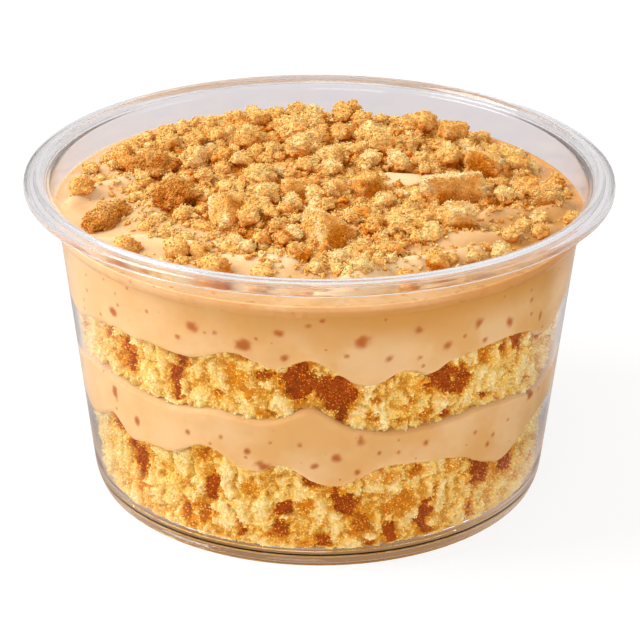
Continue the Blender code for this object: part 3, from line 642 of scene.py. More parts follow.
@dataclass(frozen=True)
class BakedCrumb:
    """Sugary biscuit crumb, each piece its own tone between toasted and pale, with painted shade where it
    lies low among others.
    """

    groups: Groups
    name: str
    pale: Colour = (1.0, 0.70, 0.32)
    body: Colour = (0.97, 0.530, 0.175)
    toast: Colour = (0.74, 0.230, 0.032)

    def build(self) -> Material:
        """Colour by each crumb's tone, drawn towards toast as painted shade where it lies low; the height of
        its grains makes it lighter or darker, as painted light and shade.
        """
        material, tree = new_finish(self.name)
        height, tips = tree.group(self.groups.grain, Grain_Size=0.00044)
        drifting = tree.math('MULTIPLY', tree.math('SUBTRACT', tree.noise(0.0032, 3.0), 0.5), 1.6)
        # Painted shade: crumbs that lie low among others drift towards toast.
        sunk = tree.math('SUBTRACT', drifting, tree.math('MULTIPLY', tree.value("deep"), 0.45))
        tone = tree.math('ADD', tree.value("tone"), sunk)
        colour = tree.mix(tree.ramp(tone, -0.15, 0.50), self.toast, self.body)
        colour = tree.mix(tree.ramp(tone, 0.45, 1.15), colour, self.pale)
        # Painted light and shade: grain tips and high points are made brighter, low points darker.
        lift = tree.math('ADD', tree.math('MULTIPLY', tips, 0.62),
                         tree.ramp(tree.value("height"), 0.0, 0.9, 0.80, 1.10))
        tree.shade(Base_Color=tree.get("HueSaturation", Color=colour, Value=lift, Saturation=1.03),
                   Roughness=0.6, Subsurface_Weight=0.36, Subsurface_Radius=(1.0, 0.50, 0.20),
                   Subsurface_Scale=0.0010, Specular_IOR_Level=tree.ramp(tips, 0.4, 1.0, 0.0, 0.15))
        tree.bump(height, 0.00034, 0.9)
        return material


@dataclass(frozen=True)
class PaleFloor:
    """A lit white table: clean white to the eye, a painted shade greyer through the plastic, with painted
    reflections in it and painted brown shade under the tub.
    """

    # Colours the table glows with for rays through or off the plastic, all painted: grey shade through the
    # walls, dark reflections in front, lighter ones to the left and behind, and brown shade under the tub.
    through: Colour = (0.76, 0.725, 0.74)
    painted_front_reflection: Colour = (0.19, 0.135, 0.095)
    under: Colour = (0.36, 0.185, 0.075)
    painted_under_side: Colour = (0.64, 0.50, 0.42)
    painted_reflection: Colour = (0.03, 0.03, 0.03)
    painted_reflection_left: Colour = (0.28, 0.26, 0.26)
    painted_reflection_back: Colour = (0.62, 0.55, 0.50)
    shadow: float = 0.20

    def build(self) -> Material:
        """Matt white for light that bounces, and its own glow for all that is looked at.

        The glow is white to the eye, and painted light and shade for rays through or off
        the plastic. A ray that only passed through walls has even depth; one that turned back
        inside a wall has odd depth, and sees a darker floor in front, a painted reflection.
        """
        material, tree = new_finish("pale_floor")
        matt = tree.shade(Base_Color=(0.90, 0.90, 0.90), Roughness=0.9)
        rays = tree.add("LightPath").outputs
        x, y, _ = tree.axes()
        wide = tree.math('ABSOLUTE', x)
        grazing = tree.ramp(tree.math('DIVIDE', y, wide), 0.10, 0.50)
        # Painted reflections of the table in the walls, and painted shade seen through them.
        left = tree.mix(tree.ramp(x, -0.080, -0.042, 1.0, 0.0), self.painted_reflection, self.painted_reflection_left)
        painted_reflection = tree.mix(grazing, left, self.painted_reflection_back)
        turned_back = tree.math('MODULO', rays["Ray Depth"], 2.0)
        passed = tree.mix(turned_back, self.through, self.painted_front_reflection)
        passed = tree.mix(tree.ramp(y, -0.020, 0.020), passed, self.through)
        middle = tree.add("VectorMath", tree.place(), operation='LENGTH').outputs["Value"]
        # Painted brown shade under the middle of the tub, seen through its floor and foot.
        under = tree.mix(tree.ramp(wide, 0.022, 0.046), self.under, self.painted_under_side)
        around = tree.mix(rays["Is Transmission Ray"], painted_reflection, passed)
        seen = tree.mix(tree.ramp(middle, 0.050, 0.066, 1.0, 0.0), around, under)
        glow = tree.get("Emission", Color=tree.mix(rays["Is Camera Ray"], seen, (1.0, 1.0, 1.0)))
        both = tree.get("MixShader", self.shadow, glow, matt)
        plain = tree.get("MixShader", rays["Is Camera Ray"], glow, both)
        tree.show(tree.get("MixShader", rays["Is Diffuse Ray"], plain, matt))
        return material


# ---- tub
def rounded_section(corners: list[Triple], steps: int = 5, longest: float = 2.5) -> Array:
    """A section whose corners are eased by short curves.

    Formula: between two points, one ease away from a corner on either side, a
    quadratic Bezier curve has the corner as its middle control. Stretches longer
    than longest are then cut evenly, so that shading stays flat on them.

    Args:
        corners: radius, height and ease of each corner, in millimetres.
        steps: points on each curve.
        longest: the longest stretch left uncut.

    Returns:
        Radius and height of each point of the section.
    """
    path = np.array([corner[:2] for corner in corners])
    t = np.linspace(0.0, 1.0, steps)[:, None]
    pieces = [path[:1]]
    for before, here, after, corner in zip(path, path[1:], path[2:], corners[1:-1]):
        back, ahead = before - here, after - here
        start = here + back * min(corner[2] / np.linalg.norm(back), 0.45)
        end = here + ahead * min(corner[2] / np.linalg.norm(ahead), 0.45)
        pieces.append((1 - t) ** 2 * start + 2 * t * (1 - t) * here + t * t * end)
    eased = np.concatenate([*pieces, path[-1:]])
    along = np.concatenate([[0.0], np.cumsum(np.linalg.norm(np.diff(eased, axis=0), axis=1))])
    cuts = [np.linspace(a, b, max(2, math.ceil((b - a) / longest) + 1))[:-1]
            for a, b in zip(along[:-1], along[1:]) if b > a + 1e-6]
    spots = np.concatenate([*cuts, along[-1:]])
    return np.stack([np.interp(spots, along, part) for part in eased.T], axis=-1)


@dataclass(frozen=True)
class Tub:
    """The clear tub: one thin section turned round the upright axis. Sizes are in millimetres."""

    height: float = 65.0
    rim_radius: float = 58.5
    lip_depth: float = 2.5
    base_radius: float = 46.0
    taper: float = 0.1063
    wall: float = 0.8
    shoulder: float = 56.0
    shoulder_step: float = 1.4
    neck_top: float = 62.6
    neck_flare: float = 0.6
    foot_radius: float = 43.2
    foot_width: float = 1.5
    underside: float = 1.8
    floor_top: float = 2.6
    columns: int = 288

    def wall_outside(self, height: float) -> float:
        """Radius of the outer face of the tapered wall."""
        return self.base_radius + self.taper * height

    def outside(self) -> list[Triple]:
        """Corners from the middle of the underside out, up the wall and over the lip to the crest."""
        flange, lip, rim = self.height - 0.45, self.height - self.lip_depth, self.rim_radius
        neck = self.wall_outside(self.shoulder) + self.shoulder_step
        inner, foot, shelf = self.foot_radius, self.foot_radius + self.foot_width, flange - self.wall
        return [
            (10, self.underside, 0), (inner - 0.9, self.underside, 0.6), (inner - 0.6, 0.6, 0.3),
            (inner, 0, 0.3), (foot, 0, 0.3), (foot + 0.7, 0.35, 0.4), (self.wall_outside(2.6), 2.6, 1.6),
            (self.wall_outside(self.shoulder - 0.3), self.shoulder - 0.3, 0.3),
            (neck - 0.2, self.shoulder + 0.3, 0.4), (neck + 0.1, self.shoulder + 1.3, 0.4),
            (neck + self.neck_flare, self.neck_top, 0.6), (neck + self.neck_flare + 0.3, shelf, 0.3),
            (rim - self.wall - 0.2, shelf, 0.3), (rim - self.wall, lip + 0.3, 0.2), (rim - 0.4, lip, 0.35),
            (rim, lip + 0.3, 0.3), (rim, flange - 0.3, 0.6), (rim - 0.9, flange, 0.4),
            (rim - 2.0, flange - 0.1, 0.3), (rim - 2.4, self.height, 0.3),
        ]

    def inside(self) -> list[Triple]:
        """Corners from the crest of the rim down the neck and wall to the middle of the floor."""
        neck = self.wall_outside(self.shoulder) + self.shoulder_step - self.wall
        corner = self.wall_outside(4.0) - self.wall
        rim, flare = self.rim_radius, neck + self.neck_flare
        return [
            (rim - 3.3, self.height, 0.3), (rim - 3.9, self.height - 0.6, 0.3),
            (rim - 4.3, self.neck_top + 0.9, 0.4), (flare + 0.3, self.neck_top + 0.7, 0.3),
            (flare, self.neck_top + 0.1, 0.4), (neck, self.shoulder + 1.6, 0.5),
            (neck - 0.3, self.shoulder + 0.6, 0.5),
            (self.wall_outside(self.shoulder) - self.wall - 0.1, self.shoulder - 0.2, 0.4),
            (corner, 4.2, 1.4), (corner - 1.2, self.floor_top, 1.0), (10, self.floor_top, 0),
        ]

    def inner_radius(self, height: Array) -> Array:
        """Radius of the inner face at a height between the floor and the neck, in metres."""
        section = rounded_section(self.inside())[::-1]
        upright = section[section[:, 0] > self.foot_radius + 1.0]
        return MM * np.interp(height / MM, upright[:, 1], upright[:, 0])

    def build(self, material: Material) -> None:
        """Turn the section and hang the tub in place of its CAD node."""
        section = rounded_section(self.outside() + self.inside()) * MM
        rings = polar(section[:, :1], round_angles(self.columns), section[:, 1:])
        turned_shell(rings, self.underside * MM, self.floor_top * MM).build(
            "tub_shell", material, "clear_plastic", "tub")


# ---- layers
def bearing_from(angle: Array, at: float) -> Array:
    """Degrees from a bearing to an angle, between -180 and 180."""
    return (np.degrees(angle) + 270.0 - at) % 360.0 - 180.0


@dataclass(frozen=True)
class WavyEdge:
    """A wavy boundary between two layers: bearing, rise and half-width of each lobe."""

    level: float
    lobes: Array
    seed: int
    ripple: float = 0.00022

    def height(self, angle: Array, share: float = 1.0) -> Array:
        """Height at an angle, at a share of the wall's radius.

        Formula: a sum of bell curves over the bearing, with a fine ripple, fading
        to the middle by the share to the power 1.5.
        """
        wave = sum(rise * np.exp(-(bearing_from(angle, at) / width) ** 2) for at, rise, width in self.lobes)
        wave += self.ripple * fractal_noise(polar(0.05, angle), 0.0032, self.seed)
        return self.level + wave * share ** 1.5


# In the tables below, lengths are in tenths of a millimetre and shares in hundredths.
TENTHS = 1e4
LOBE = (1, TENTHS, 1)
CRUMB = (TENTHS, TENTHS, TENTHS, 100)
SPECK = (1, 10, 10, 10)
CRUST = (1, 10, 10, 10, 100)

LOWER_SPONGE_EDGE = WavyEdge(0.0215, rows(
    3, LOBE,
    -56, 22, 5, -49, -14, 5, -36, -8, 6, -27, 34, 7, -14, -9, 5, -8, 20, 4, 4, -32, 8, 16, 8, 7,
    48, -55, 10, 66, 4, 6, 84, 16, 9, 101, -30, 9, 120, 18, 9, 139, -34, 10, 158, 14, 8, 177, -30, 9,
    197, 18, 8, 217, -38, 10, 237, 14, 8, 256, -30, 9, 275, 12, 7, 290, -22, 8,
), 5)
LOWER_CREAM_EDGE = WavyEdge(0.0314, rows(
    3, LOBE,
    -58, 16, 20, -22, 18, 9, -2, 42, 7, 22, -18, 14, 60, -28, 15, 100, 16, 16, 136, -22, 14, 170, 24, 15,
    205, -18, 13, 240, 18, 16, 274, -12, 12,
), 7)
UPPER_SPONGE_EDGE = WavyEdge(0.0432, rows(
    3, LOBE,
    -70, -26, 8, -51, 9, 5, -40, 9, 5, -19, 30, 7, -2, 26, 5, 11, -32, 6, 25, -22, 4, 44, 8, 9, 62, -34, 7,
    80, 12, 8, 97, -30, 8, 115, 16, 8, 133, -26, 8, 150, 16, 8, 168, -32, 9, 188, 14, 8, 206, -26, 8,
    223, 18, 8, 242, -32, 9, 262, 12, 8, 276, -16, 6,
), 9)
CREAM_LEVEL = 0.0579
CEILING = 0.0649
SPONGE_FLOOR = 0.0029
OVERLAP = 0.00022
BEAD, BEAD_DEPTH = 0.0011, 0.0013


def bead_inset(away: Array) -> Array:
    """How far cream draws back from the wall near its edge, as a quarter of an ellipse."""
    part = np.clip(1.0 - away / BEAD, 0.0, 1.0)
    return BEAD_DEPTH * (1.0 - np.sqrt(np.maximum(1.0 - part * part, 0.0)))


def on_wall(tub: Tub, angle: Array, height: Array, inset: Array | float = 0.0) -> Array:
    """Points inset from the inner face of the tub; a negative inset reaches into the wall."""
    return polar(tub.inner_radius(height) - inset, angle, height)


def inner_rings(angle: Array, parts: tuple[float, ...], edge: WavyEdge | None) -> list[Array]:
    """Hidden rings under or over a layer, at parts of the wall's radius."""
    return [polar(part * 0.050, angle, edge.height(angle, part) if edge else SPONGE_FLOOR)
            for part in parts]


def spot_mask(tub: Tub, points: Array, spots: Array, blur: float, seed: int) -> Array:
    """How far points near the wall lie inside any of a list of ragged ovals.

    Formula: the distance from an oval's centre, measured along the wall and
    upwards in half-widths, is warped by noise and turned into an S-curve.

    Args:
        tub: gives the wall's radius.
        points: points to ask about.
        spots: bearing, height, half-width, half-height (in millimetres) and strength of each oval.
        blur: width of the S-curve, in half-widths.
        seed: picks the noise.

    Returns:
        An oval's strength inside it, 0 well outside all of them.
    """
    angle = np.arctan2(points[..., 1], points[..., 0])
    fray = 0.55 * fractal_noise(points, 0.0016, seed)
    mask = np.zeros(points.shape[:-1])
    for at, height, width, tall, strength in spots:
        along = np.radians(bearing_from(angle, at)) * tub.wall_outside(height) / width
        distance = np.hypot(along, (points[..., 2] / MM - height) / tall) + fray
        mask = np.maximum(mask, strength * (1.0 - smoothstep(1.0 - blur, 1.0 + blur, distance)))
    return mask


def strewn_spots(count: int, ranges: tuple[float, ...], seed: int) -> Array:
    """Random ovals round the back and sides: least and most height, half-width and half-height."""
    draw = np.random.default_rng(seed)
    bearing = 66.0 + (np.arange(count) + draw.uniform(0.1, 0.9, count)) * (226.0 / count)
    sizes = [draw.uniform(*pair, count) for pair in np.reshape((*ranges, 0.45, 1.0), (4, 2))]
    return np.stack([bearing, *sizes], axis=1)


def solid_specks(*numbers: float) -> Array:
    """Specks that show at the wall, all of full strength."""
    return np.insert(rows(4, SPECK, *numbers), 4, 1.0, axis=1)


@dataclass(frozen=True)
class Sponge:
    """A layer of torn sponge: clumps, gaps and grains pressed against the wall."""

    name: str
    top: WavyEdge
    crust: Array
    seed: int
    bottom: WavyEdge | None = None
    columns: int = 1100
    row_pitch: float = 0.00029
    clump_size: float = 0.0042
    lump_size: float = 0.00145
    grain_size: float = 0.00066
    recess: float = 0.00235
    clump_height: float = 0.00115
    lump_height: float = 0.00090
    grain_height: float = 0.00050
    tuck: float = 0.0007

    def relief(self, tub: Tub, points: Array) -> tuple[Array, Array, Array]:
        """Inset from the wall, height in the crumb from 0 to 1, and crust.

        Formula: cell noise drawn out upwards gives clumps, flat-topped and parted
        by gaps; domes of lumps ride on them and domes of grains on those. Each
        lump takes most of its crust from the spot where its own seed lies.

        Args:
            tub: gives the wall's radius.
            points: points on the wall.

        Returns:
            Inset, height and crust at each point.
        """
        jag = noise_vectors(points, 0.0006, self.seed + 50, 1)
        bent = points + 0.0009 * noise_vectors(points, 0.0024, self.seed + 40, 2) + 0.00034 * jag
        clumps = cell_noise(bent * np.array([1.0, 1.0, 0.55]), self.clump_size, self.seed)
        lumps = cell_noise(bent, self.lump_size, self.seed + 10)
        grains = cell_noise(points + 0.00015 * jag, self.grain_size, self.seed + 20)
        crust = sum(share * spot_mask(tub, where, self.crust, 0.45, self.seed + 60)
                    for share, where in ((0.6, lumps.home), (0.4, points)))
        body = (0.7 * clumps.parted(0.34) + 0.3 * clumps.dome) * (0.66 + 0.34 * clumps.tone)
        slow = fractal_noise(points, 0.0100, self.seed + 70, 2)
        lift = self.clump_height * body * (1.0 - 0.30 * crust) + 0.00030 * slow - 0.00040 * crust
        lift += self.lump_height * lumps.bumps(0.55) * (1.0 - 0.3 * crust)
        height = np.clip(lift / (self.clump_height + 0.75 * self.lump_height), 0.0, 1.0)
        lift += self.grain_height * grains.bumps(0.3)
        return np.maximum(self.recess - lift, 0.0), height, crust

    def build(self, tub: Tub, material: Material) -> tuple[Shell, Array]:
        """Build the layer and hang it in place of its CAD node.

        Args:
            tub: what it presses against.
            material: its finish.

        Returns:
            Its shell, and which points show through the wall.
        """
        angle = round_angles(self.columns)
        top = self.top.height(angle) + self.tuck
        low = self.bottom.height(angle) - self.tuck if self.bottom else np.full(self.columns, SPONGE_FLOOR)
        share = np.linspace(0.0, 1.0, math.ceil(float(np.max(top - low)) / self.row_pitch))[:, None]
        height = low + (top - low) * share
        inset, level, crust = self.relief(tub, on_wall(tub, angle, height))
        under = inner_rings(angle, (0.3, 0.7), self.bottom)
        over = inner_rings(angle, (0.9, 0.6, 0.3), self.top)
        shell = turned_shell(np.stack([*under, *on_wall(tub, angle, height, inset), *over]),
                             float(np.mean(under[0][:, 2])), self.top.level)
        hidden = 2 * self.columns, 3 * self.columns + 2
        # The height in the crumb is what the sponge finish paints as light on high points and shade in
        # hollows.
        shell.values["height"] = np.pad(level.ravel(), hidden, constant_values=0.6)
        shell.values["crust"] = np.pad(crust.ravel(), hidden)
        seen = ((share > 0.03) & (share < 0.97)).repeat(self.columns, axis=1)
        shell.build(f"{self.name}_crumb", material, "sponge", self.name)
        return shell, np.pad(seen.ravel(), hidden)


@dataclass(frozen=True)
class CreamBand:
    """Cream between two sponge layers, flat on the wall and rounded at its edges."""

    bottom: WavyEdge
    top: WavyEdge
    specks: Array
    columns: int = 900
    rings: int = 46

    def build(self, tub: Tub, material: Material) -> None:
        """Build the band and hang it in place of its CAD node."""
        angle = round_angles(self.columns)
        low, high = self.bottom.height(angle), self.top.height(angle)
        share = 0.5 - 0.5 * np.cos(np.linspace(0.0, math.pi, self.rings))[:, None]
        height = low + (high - low) * share
        upper = bead_inset(high - height)
        side = on_wall(tub, angle, height, bead_inset(height - low) + upper - OVERLAP)
        shell = turned_shell(np.stack([*inner_rings(angle, (0.3, 0.8), self.bottom), *side,
                                       *inner_rings(angle, (0.8, 0.3), self.top)]),
                             self.bottom.level, self.top.level)
        shell.values["speck"] = spot_mask(tub, shell.points, self.specks, 0.60, 71)
        wet = smoothstep(0.15, 0.55, upper / BEAD_DEPTH) * smoothstep(0.6, 0.9, share)
        shell.values["wet"] = np.pad(wet.ravel(), (2 * self.columns, 2 * self.columns + 2))
        shell.build("cream_lower_fill", material, "caramel_cream", "cream_lower")


# ---- top cream and heap outline
@dataclass(frozen=True)
class Swirls:
    """The smooth top of the cream: a level with soft ridges left by the spoon.

    Each ridge is x and y of two or three points of its crest, its rise and its
    half-width, in millimetres.
    """

    level: float = CREAM_LEVEL
    dome: float = 0.0002
    ridges: tuple[tuple[float, ...], ...] = (
        (0, -47.5, 12.5, -36, 30, -29, 2.3, 2.3),
        (-29, -40, -18, -32.5, -6, -33.5, 1.9, 2.6),
        (-43, -23, -33, -23.5, -24, -25.5, 1.7, 2.2),
        (-50.5, -4, -45, 4, -38, 9, 1.9, 2.2),
        (-49, 12, -44, 16.5, 1, 1.8),
        (24, -22, 36, -20.5, 45, -16, 1.9, 2.2),
        (33, -10.5, 42, -7.5, 49, -4, 1.8, 2.1),
        (41, 6, 47, 8, 50, 12, 1, 1.8),
        (20, -40, 30, -37.5, 37, -32, 0.9, 2),
        (14.5, 9, 19.5, 8.8, 1.6, 3.4),
    )
    meniscus: float = 0.0006
    dip: float = 0.0010

    def lean(self, x: Array, y: Array) -> Array:
        """How far the cream lies lower towards the back right, growing along that diagonal."""
        return -self.dip * smoothstep(0.018, 0.046, (x + y) * math.sqrt(0.5))

    def height(self, x: Array, y: Array) -> Array:
        """Height of the cream.

        Formula: a low dome, plus for each ridge a bell curve of the distance to
        its crest line, plus slow waves, all fading out towards the wall, where
        the cream creeps up by a falling exponential; the whole leans a little.
        """
        radius = np.hypot(x, y)
        rise = np.zeros_like(radius)
        for ridge in self.ridges:
            *crest, top, width = np.array(ridge) * MM
            crest = np.reshape(crest, (-1, 2))
            away = np.full_like(radius, 1.0)
            for (ax, ay), run in zip(crest[:-1], np.diff(crest, axis=0)):
                part = np.clip(((x - ax) * run[0] + (y - ay) * run[1]) / (run @ run), 0.0, 1.0)
                away = np.minimum(away, np.hypot(x - ax - part * run[0], y - ay - part * run[1]))
            rise += top * np.exp(-(away / width) ** 2)
        rise += 0.00060 * fractal_noise(points_at(x, y), 0.0085, 81, 2)
        rise *= 1.0 - smoothstep(0.0475, 0.0525, radius)
        edge = self.meniscus * np.exp(-np.maximum(0.0526 - radius, 0.0) / 0.0007)
        return self.level + self.dome * (1.0 - (radius / 0.052) ** 2) + rise + edge + self.lean(x, y)


@dataclass(frozen=True)
class HeapOutline:
    """The uneven outline of the crumb heap: bearing and radius of its marks."""

    marks: Array = field(default_factory=lambda: rows(
        2, (1, TENTHS),
        0, 340, 7, 370, 16, 320, 37, 312, 52, 312, 66, 330, 78, 370, 87, 435, 95, 475, 122, 482, 139, 472,
        151, 482, 173, 485, 199, 482, 215, 465, 228, 460, 240, 475, 249, 440, 257, 400, 268, 350, 284, 335,
        300, 310, 325, 298, 342, 295, 352, 320,
    ))
    ripples: tuple[Triple, ...] = ((0.0009, 7.0, 0.5), (0.0006, 13.0, 2.0))

    def radius(self, angle: Array) -> Array:
        """Radius at an angle: straight between marks, with two ripples on top."""
        at, size = np.append(self.marks, [[360.0, self.marks[0, 1]]], axis=0).T
        ripple = sum(part * np.cos(count * angle + phase) for part, count, phase in self.ripples)
        return np.interp((np.degrees(angle) + 90.0) % 360.0, at, size) + ripple


@dataclass(frozen=True)
class TopCream:
    """The top cream: a rounded lower edge, the shoulder of the tub and the swirled top."""

    bottom: WavyEdge
    swirls: Swirls
    specks: Array
    columns: int = 700
    side_rings: int = 40
    top_rings: int = 80
    inner_radius: float = 0.0080

    def build(self, tub: Tub, material: Material) -> None:
        """Build the cream and hang it in place of its CAD node."""
        angle = round_angles(self.columns)
        low = self.bottom.height(angle)
        share = np.linspace(0.0, 1.0, self.side_rings)[:, None] ** 0.8
        lean = self.swirls.lean(0.052 * np.cos(angle), 0.052 * np.sin(angle))
        height = low + (self.swirls.level + self.swirls.meniscus + lean - low) * share
        side = on_wall(tub, angle, height, bead_inset(height - low) - OVERLAP)
        edge = np.linalg.norm(side[-1, :, :2], axis=-1)
        inward = np.linspace(0.0, 1.0, self.top_rings)[1:, None] ** 1.15
        top = polar(edge - (edge - self.inner_radius) * inward, angle)
        top[..., 2] = self.swirls.height(top[..., 0], top[..., 1])
        under = inner_rings(angle, (0.3, 0.8), self.bottom)
        shell = turned_shell(np.stack([*under, *side, *top]), self.bottom.level, self.swirls.level)
        shell.values["speck"] = spot_mask(tub, shell.points, self.specks, 0.60, 73)
        inside = edge.min() - np.linalg.norm(shell.points[:, :2], axis=1)
        shell.values["wet"] = smoothstep(-0.0008, 0.0002, inside) * (shell.points[:, 2] > 0.056)
        shell.build("cream_upper_fill", material, "caramel_cream", "cream_upper")


# ---- crumbs
# Direction of the key light: crumb and clump faces turned towards it get a paler tone, as painted light.
LIT_SIDE = np.array([-0.40, -0.15, 0.90])


@dataclass(frozen=True)
class CrumbHeap:
    """The bed of the heap: a thin uneven mound, all lumps and grains.

    A hollow is x, y, radius and the share taken out of it; the patch is bare.
    """

    outline: HeapOutline
    swirls: Swirls
    cuts: int = 236
    edge: float = 0.0005
    crown: float = 0.0012
    back: float = 0.0007
    mound: float = 0.0013
    mound_size: float = 0.0080
    hollows: Array = field(default_factory=lambda: rows(
        4, CRUMB, 280, -75, 60, 85, 30, -275, 60, 85, -195, -195, 50, 75, 165, 98, 50, 85, 270, -200, 40, 60))
    patch: Triple = (0.0166, 0.0084, 0.0047)
    seed: int = 120

    def height(self, x: Array, y: Array) -> Array:
        """Height of the bed before its relief.

        Formula: the cream, plus a crown, a bank at the back, and mounds that
        are domes of warped cell noise, all thinning out at the outline.
        """
        share = np.hypot(x, y) / self.outline.radius(np.arctan2(y, x))
        inward = np.clip(1.0 - share ** 2, 0.0, 1.0)
        flat = points_at(x, y)
        mounds = cell_noise(flat + 0.0012 * fractal_noise(flat, 0.005, self.seed + 50)[..., None],
                            self.mound_size, self.seed + 40)
        thick = self.edge + self.crown * inward ** 0.6 + self.back * smoothstep(0.0, 0.040, y)
        thick += self.mound * (mounds.bumps(0.3) - 0.3) * inward ** 0.3
        for hollow_x, hollow_y, reach, taken in self.hollows:
            away = ((x - hollow_x) ** 2 + (y - hollow_y) ** 2) / reach ** 2
            thick = thick * (1.0 - taken * np.exp(-away))
        patch_x, patch_y, reach = self.patch
        bare = np.exp(-(((x - patch_x) ** 2 + (y - patch_y) ** 2) / reach ** 2) ** 2)
        return self.swirls.height(x, y) + thick - 0.0016 * smoothstep(0.88, 1.04, share) - 0.0024 * bare

    def build(self, material: Material) -> Shell:
        """Build the bed.

        Formula: an even square grid is bent to a disc, stretched to the outline
        and raised; domes of lumps and of grains are then added upwards.

        Args:
            material: its finish.

        Returns:
            Its shell.
        """
        line = np.linspace(-1.0, 1.0, self.cuts + 1)
        u, v = np.meshgrid(line, line, indexing="ij")
        wide = np.abs(u) > np.abs(v)
        lead, other = np.where(wide, u, v), np.where(wide, v, u)
        turn = (math.pi / 4.0) * other / np.where(lead == 0.0, 1.0, lead)
        turn = np.where(wide, turn, math.pi / 2.0 - turn)
        x, y = lead * np.cos(turn), lead * np.sin(turn)
        reach = 1.03 * self.outline.radius(np.arctan2(y, x))
        x, y = x * reach, y * reach
        flat = points_at(x, y)
        share = np.hypot(x, y) / self.outline.radius(np.arctan2(y, x))
        warp = noise_vectors(flat, 0.003, self.seed, 2)
        lumps = cell_noise(flat + 0.0009 * warp, 0.0036, self.seed + 5)
        bits = cell_noise(flat + 0.0004 * warp, 0.0014, self.seed + 10)
        grains = cell_noise(flat, 0.00062, self.seed + 15)
        relief = 0.0009 * lumps.bumps(0.35) + 0.00045 * bits.bumps(0.4) + 0.00022 * grains.bumps()
        flat[..., 2] = self.height(x, y) - 0.0006 + relief * (1.0 - 0.65 * smoothstep(0.86, 1.03, share))
        count = self.cuts + 1
        index = np.arange(count * count).reshape(count, count)
        quads = np.stack([index[:-1, :-1], index[1:, :-1], index[1:, 1:], index[:-1, 1:]], -1)
        border = np.concatenate([index[:-1, 0], index[-1, :-1], index[:0:-1, -1], index[0, :0:-1]])
        fan = np.stack([np.full(len(border), count * count), np.roll(border, -1), border], axis=-1)
        below = [[0.0, 0.0, CREAM_LEVEL - 0.002]]
        shell = Shell(np.concatenate([flat.reshape(-1, 3), below]), quads.reshape(-1, 4), fan)
        # Height and tone both rise to the tops of the lumps, over a random tone: the finish paints high
        # points lighter as painted light and the gaps darker as painted shade.
        shell.values["height"] = np.append(np.clip(relief / 0.0014, 0.0, 1.0), 0.0)
        shell.values["tone"] = np.append(0.60 * lumps.bumps() + 0.25 * bits.tone + 0.15, 0.0)
        shell.build("crumb_bed", material, "biscuit_crumb", "crumb_heap")
        return shell


@dataclass(frozen=True)
class Lumps:
    """A crowd of rough crumb lumps, one mesh, each lump with its own shape and tone."""

    centres: Array
    radii: Array
    cuts: int
    seed: int
    squash: tuple[float, float] = (0.70, 1.0)
    tones: Array | None = None
    bulge: float = 0.30
    grain_size: float = 0.00070
    grain_height: float = 0.00030
    lobe_size: float = 0.0016
    lobe_height: float = 0.00075
    tall: float = 0.0023

    def shell(self) -> Shell:
        """The lumps as one shell.

        Formula: the cut surface of a cube, drawn part of the way to a sphere, is
        swollen by noise, stretched, turned and moved to each centre, and domes of
        grains are added along the way out.
        """
        count = len(self.radii)
        draw = np.random.default_rng(self.seed)
        base, quads = cube_sphere(self.cuts)
        blocky = draw.uniform(0.05, 0.35, (count, 1, 1))
        bodies = unit(base) * (1.0 - blocky) + base * 0.80 * blocky
        shift = draw.uniform(-50.0, 50.0, (count, 1, 3))
        swell = fractal_noise(bodies * 1.15 + shift, 1.0, self.seed, 2)
        ridge = fractal_noise(bodies * 2.9 + shift, 1.0, self.seed + 7, 2)
        grown = bodies * (1.0 + self.bulge * (swell + 0.30 * ridge))[..., None]
        stretch = np.stack([draw.uniform(0.85, 1.18, count), draw.uniform(0.85, 1.18, count),
                            np.minimum(draw.uniform(*self.squash, count), self.tall / self.radii)], axis=-1)
        turned = np.einsum("nij,nvj->nvi", random_turns(draw, count), grown) * stretch[:, None, :]
        placed = self.centres[:, None, :] + turned * self.radii[:, None, None]
        lobes = cell_noise(placed, self.lobe_size, self.seed + 50)
        grains = cell_noise(placed, self.grain_size, self.seed + 30)
        lift = np.minimum(self.grain_height, 0.22 * self.radii)[:, None] * (grains.bumps(0.4) - 0.35)
        lift += np.minimum(self.lobe_height, 0.30 * self.radii)[:, None] * (lobes.bumps() - 0.25)
        out = unit(turned)
        faces = quads[None] + (np.arange(count) * len(base))[:, None, None]
        shell = Shell((placed + out * lift[..., None]).reshape(-1, 3), faces.reshape(-1, 4))
        tones = draw.uniform(0.05, 1.0, count) if self.tones is None else self.tones
        # Painted light: the side of each lump turned to the key light is paler.
        tones = 0.85 * tones[:, None] + 0.15 * swell + 0.30 * (out @ LIT_SIDE) - 0.12
        shell.values["tone"] = tones.ravel()
        # The finish paints points with greater height lighter: painted light on grains and lobes, painted
        # shade between them.
        high = 0.25 + 0.55 * grains.bumps(0.3) + 0.35 * lobes.bumps()
        shell.values["height"] = np.clip(high, 0.0, 1.0).ravel()
        return shell


def sized_lumps(crumbs: Array, height: Array, sizes: tuple[tuple[float, float, int], ...], seed: int,
                squash: tuple[float, float]) -> Shell:
    """Crumbs as one shell, finer cut the larger they are.

    Args:
        crumbs: rows of x, y, radius and tone.
        height: height of their centres.
        sizes: least and most radius of each group, and its cuts.
        seed: picks their shapes.
        squash: least and most upright stretch.

    Returns:
        Their shell.
    """
    parts = []
    for low, high, cuts in sizes:
        chosen = (crumbs[:, 2] > low) & (crumbs[:, 2] <= high)
        centres = points_at(crumbs[chosen, 0], crumbs[chosen, 1], height[chosen])
        parts.append(Lumps(centres, crumbs[chosen, 2], cuts, seed + cuts, squash, crumbs[chosen, 3]).shell())
    return joined(parts)


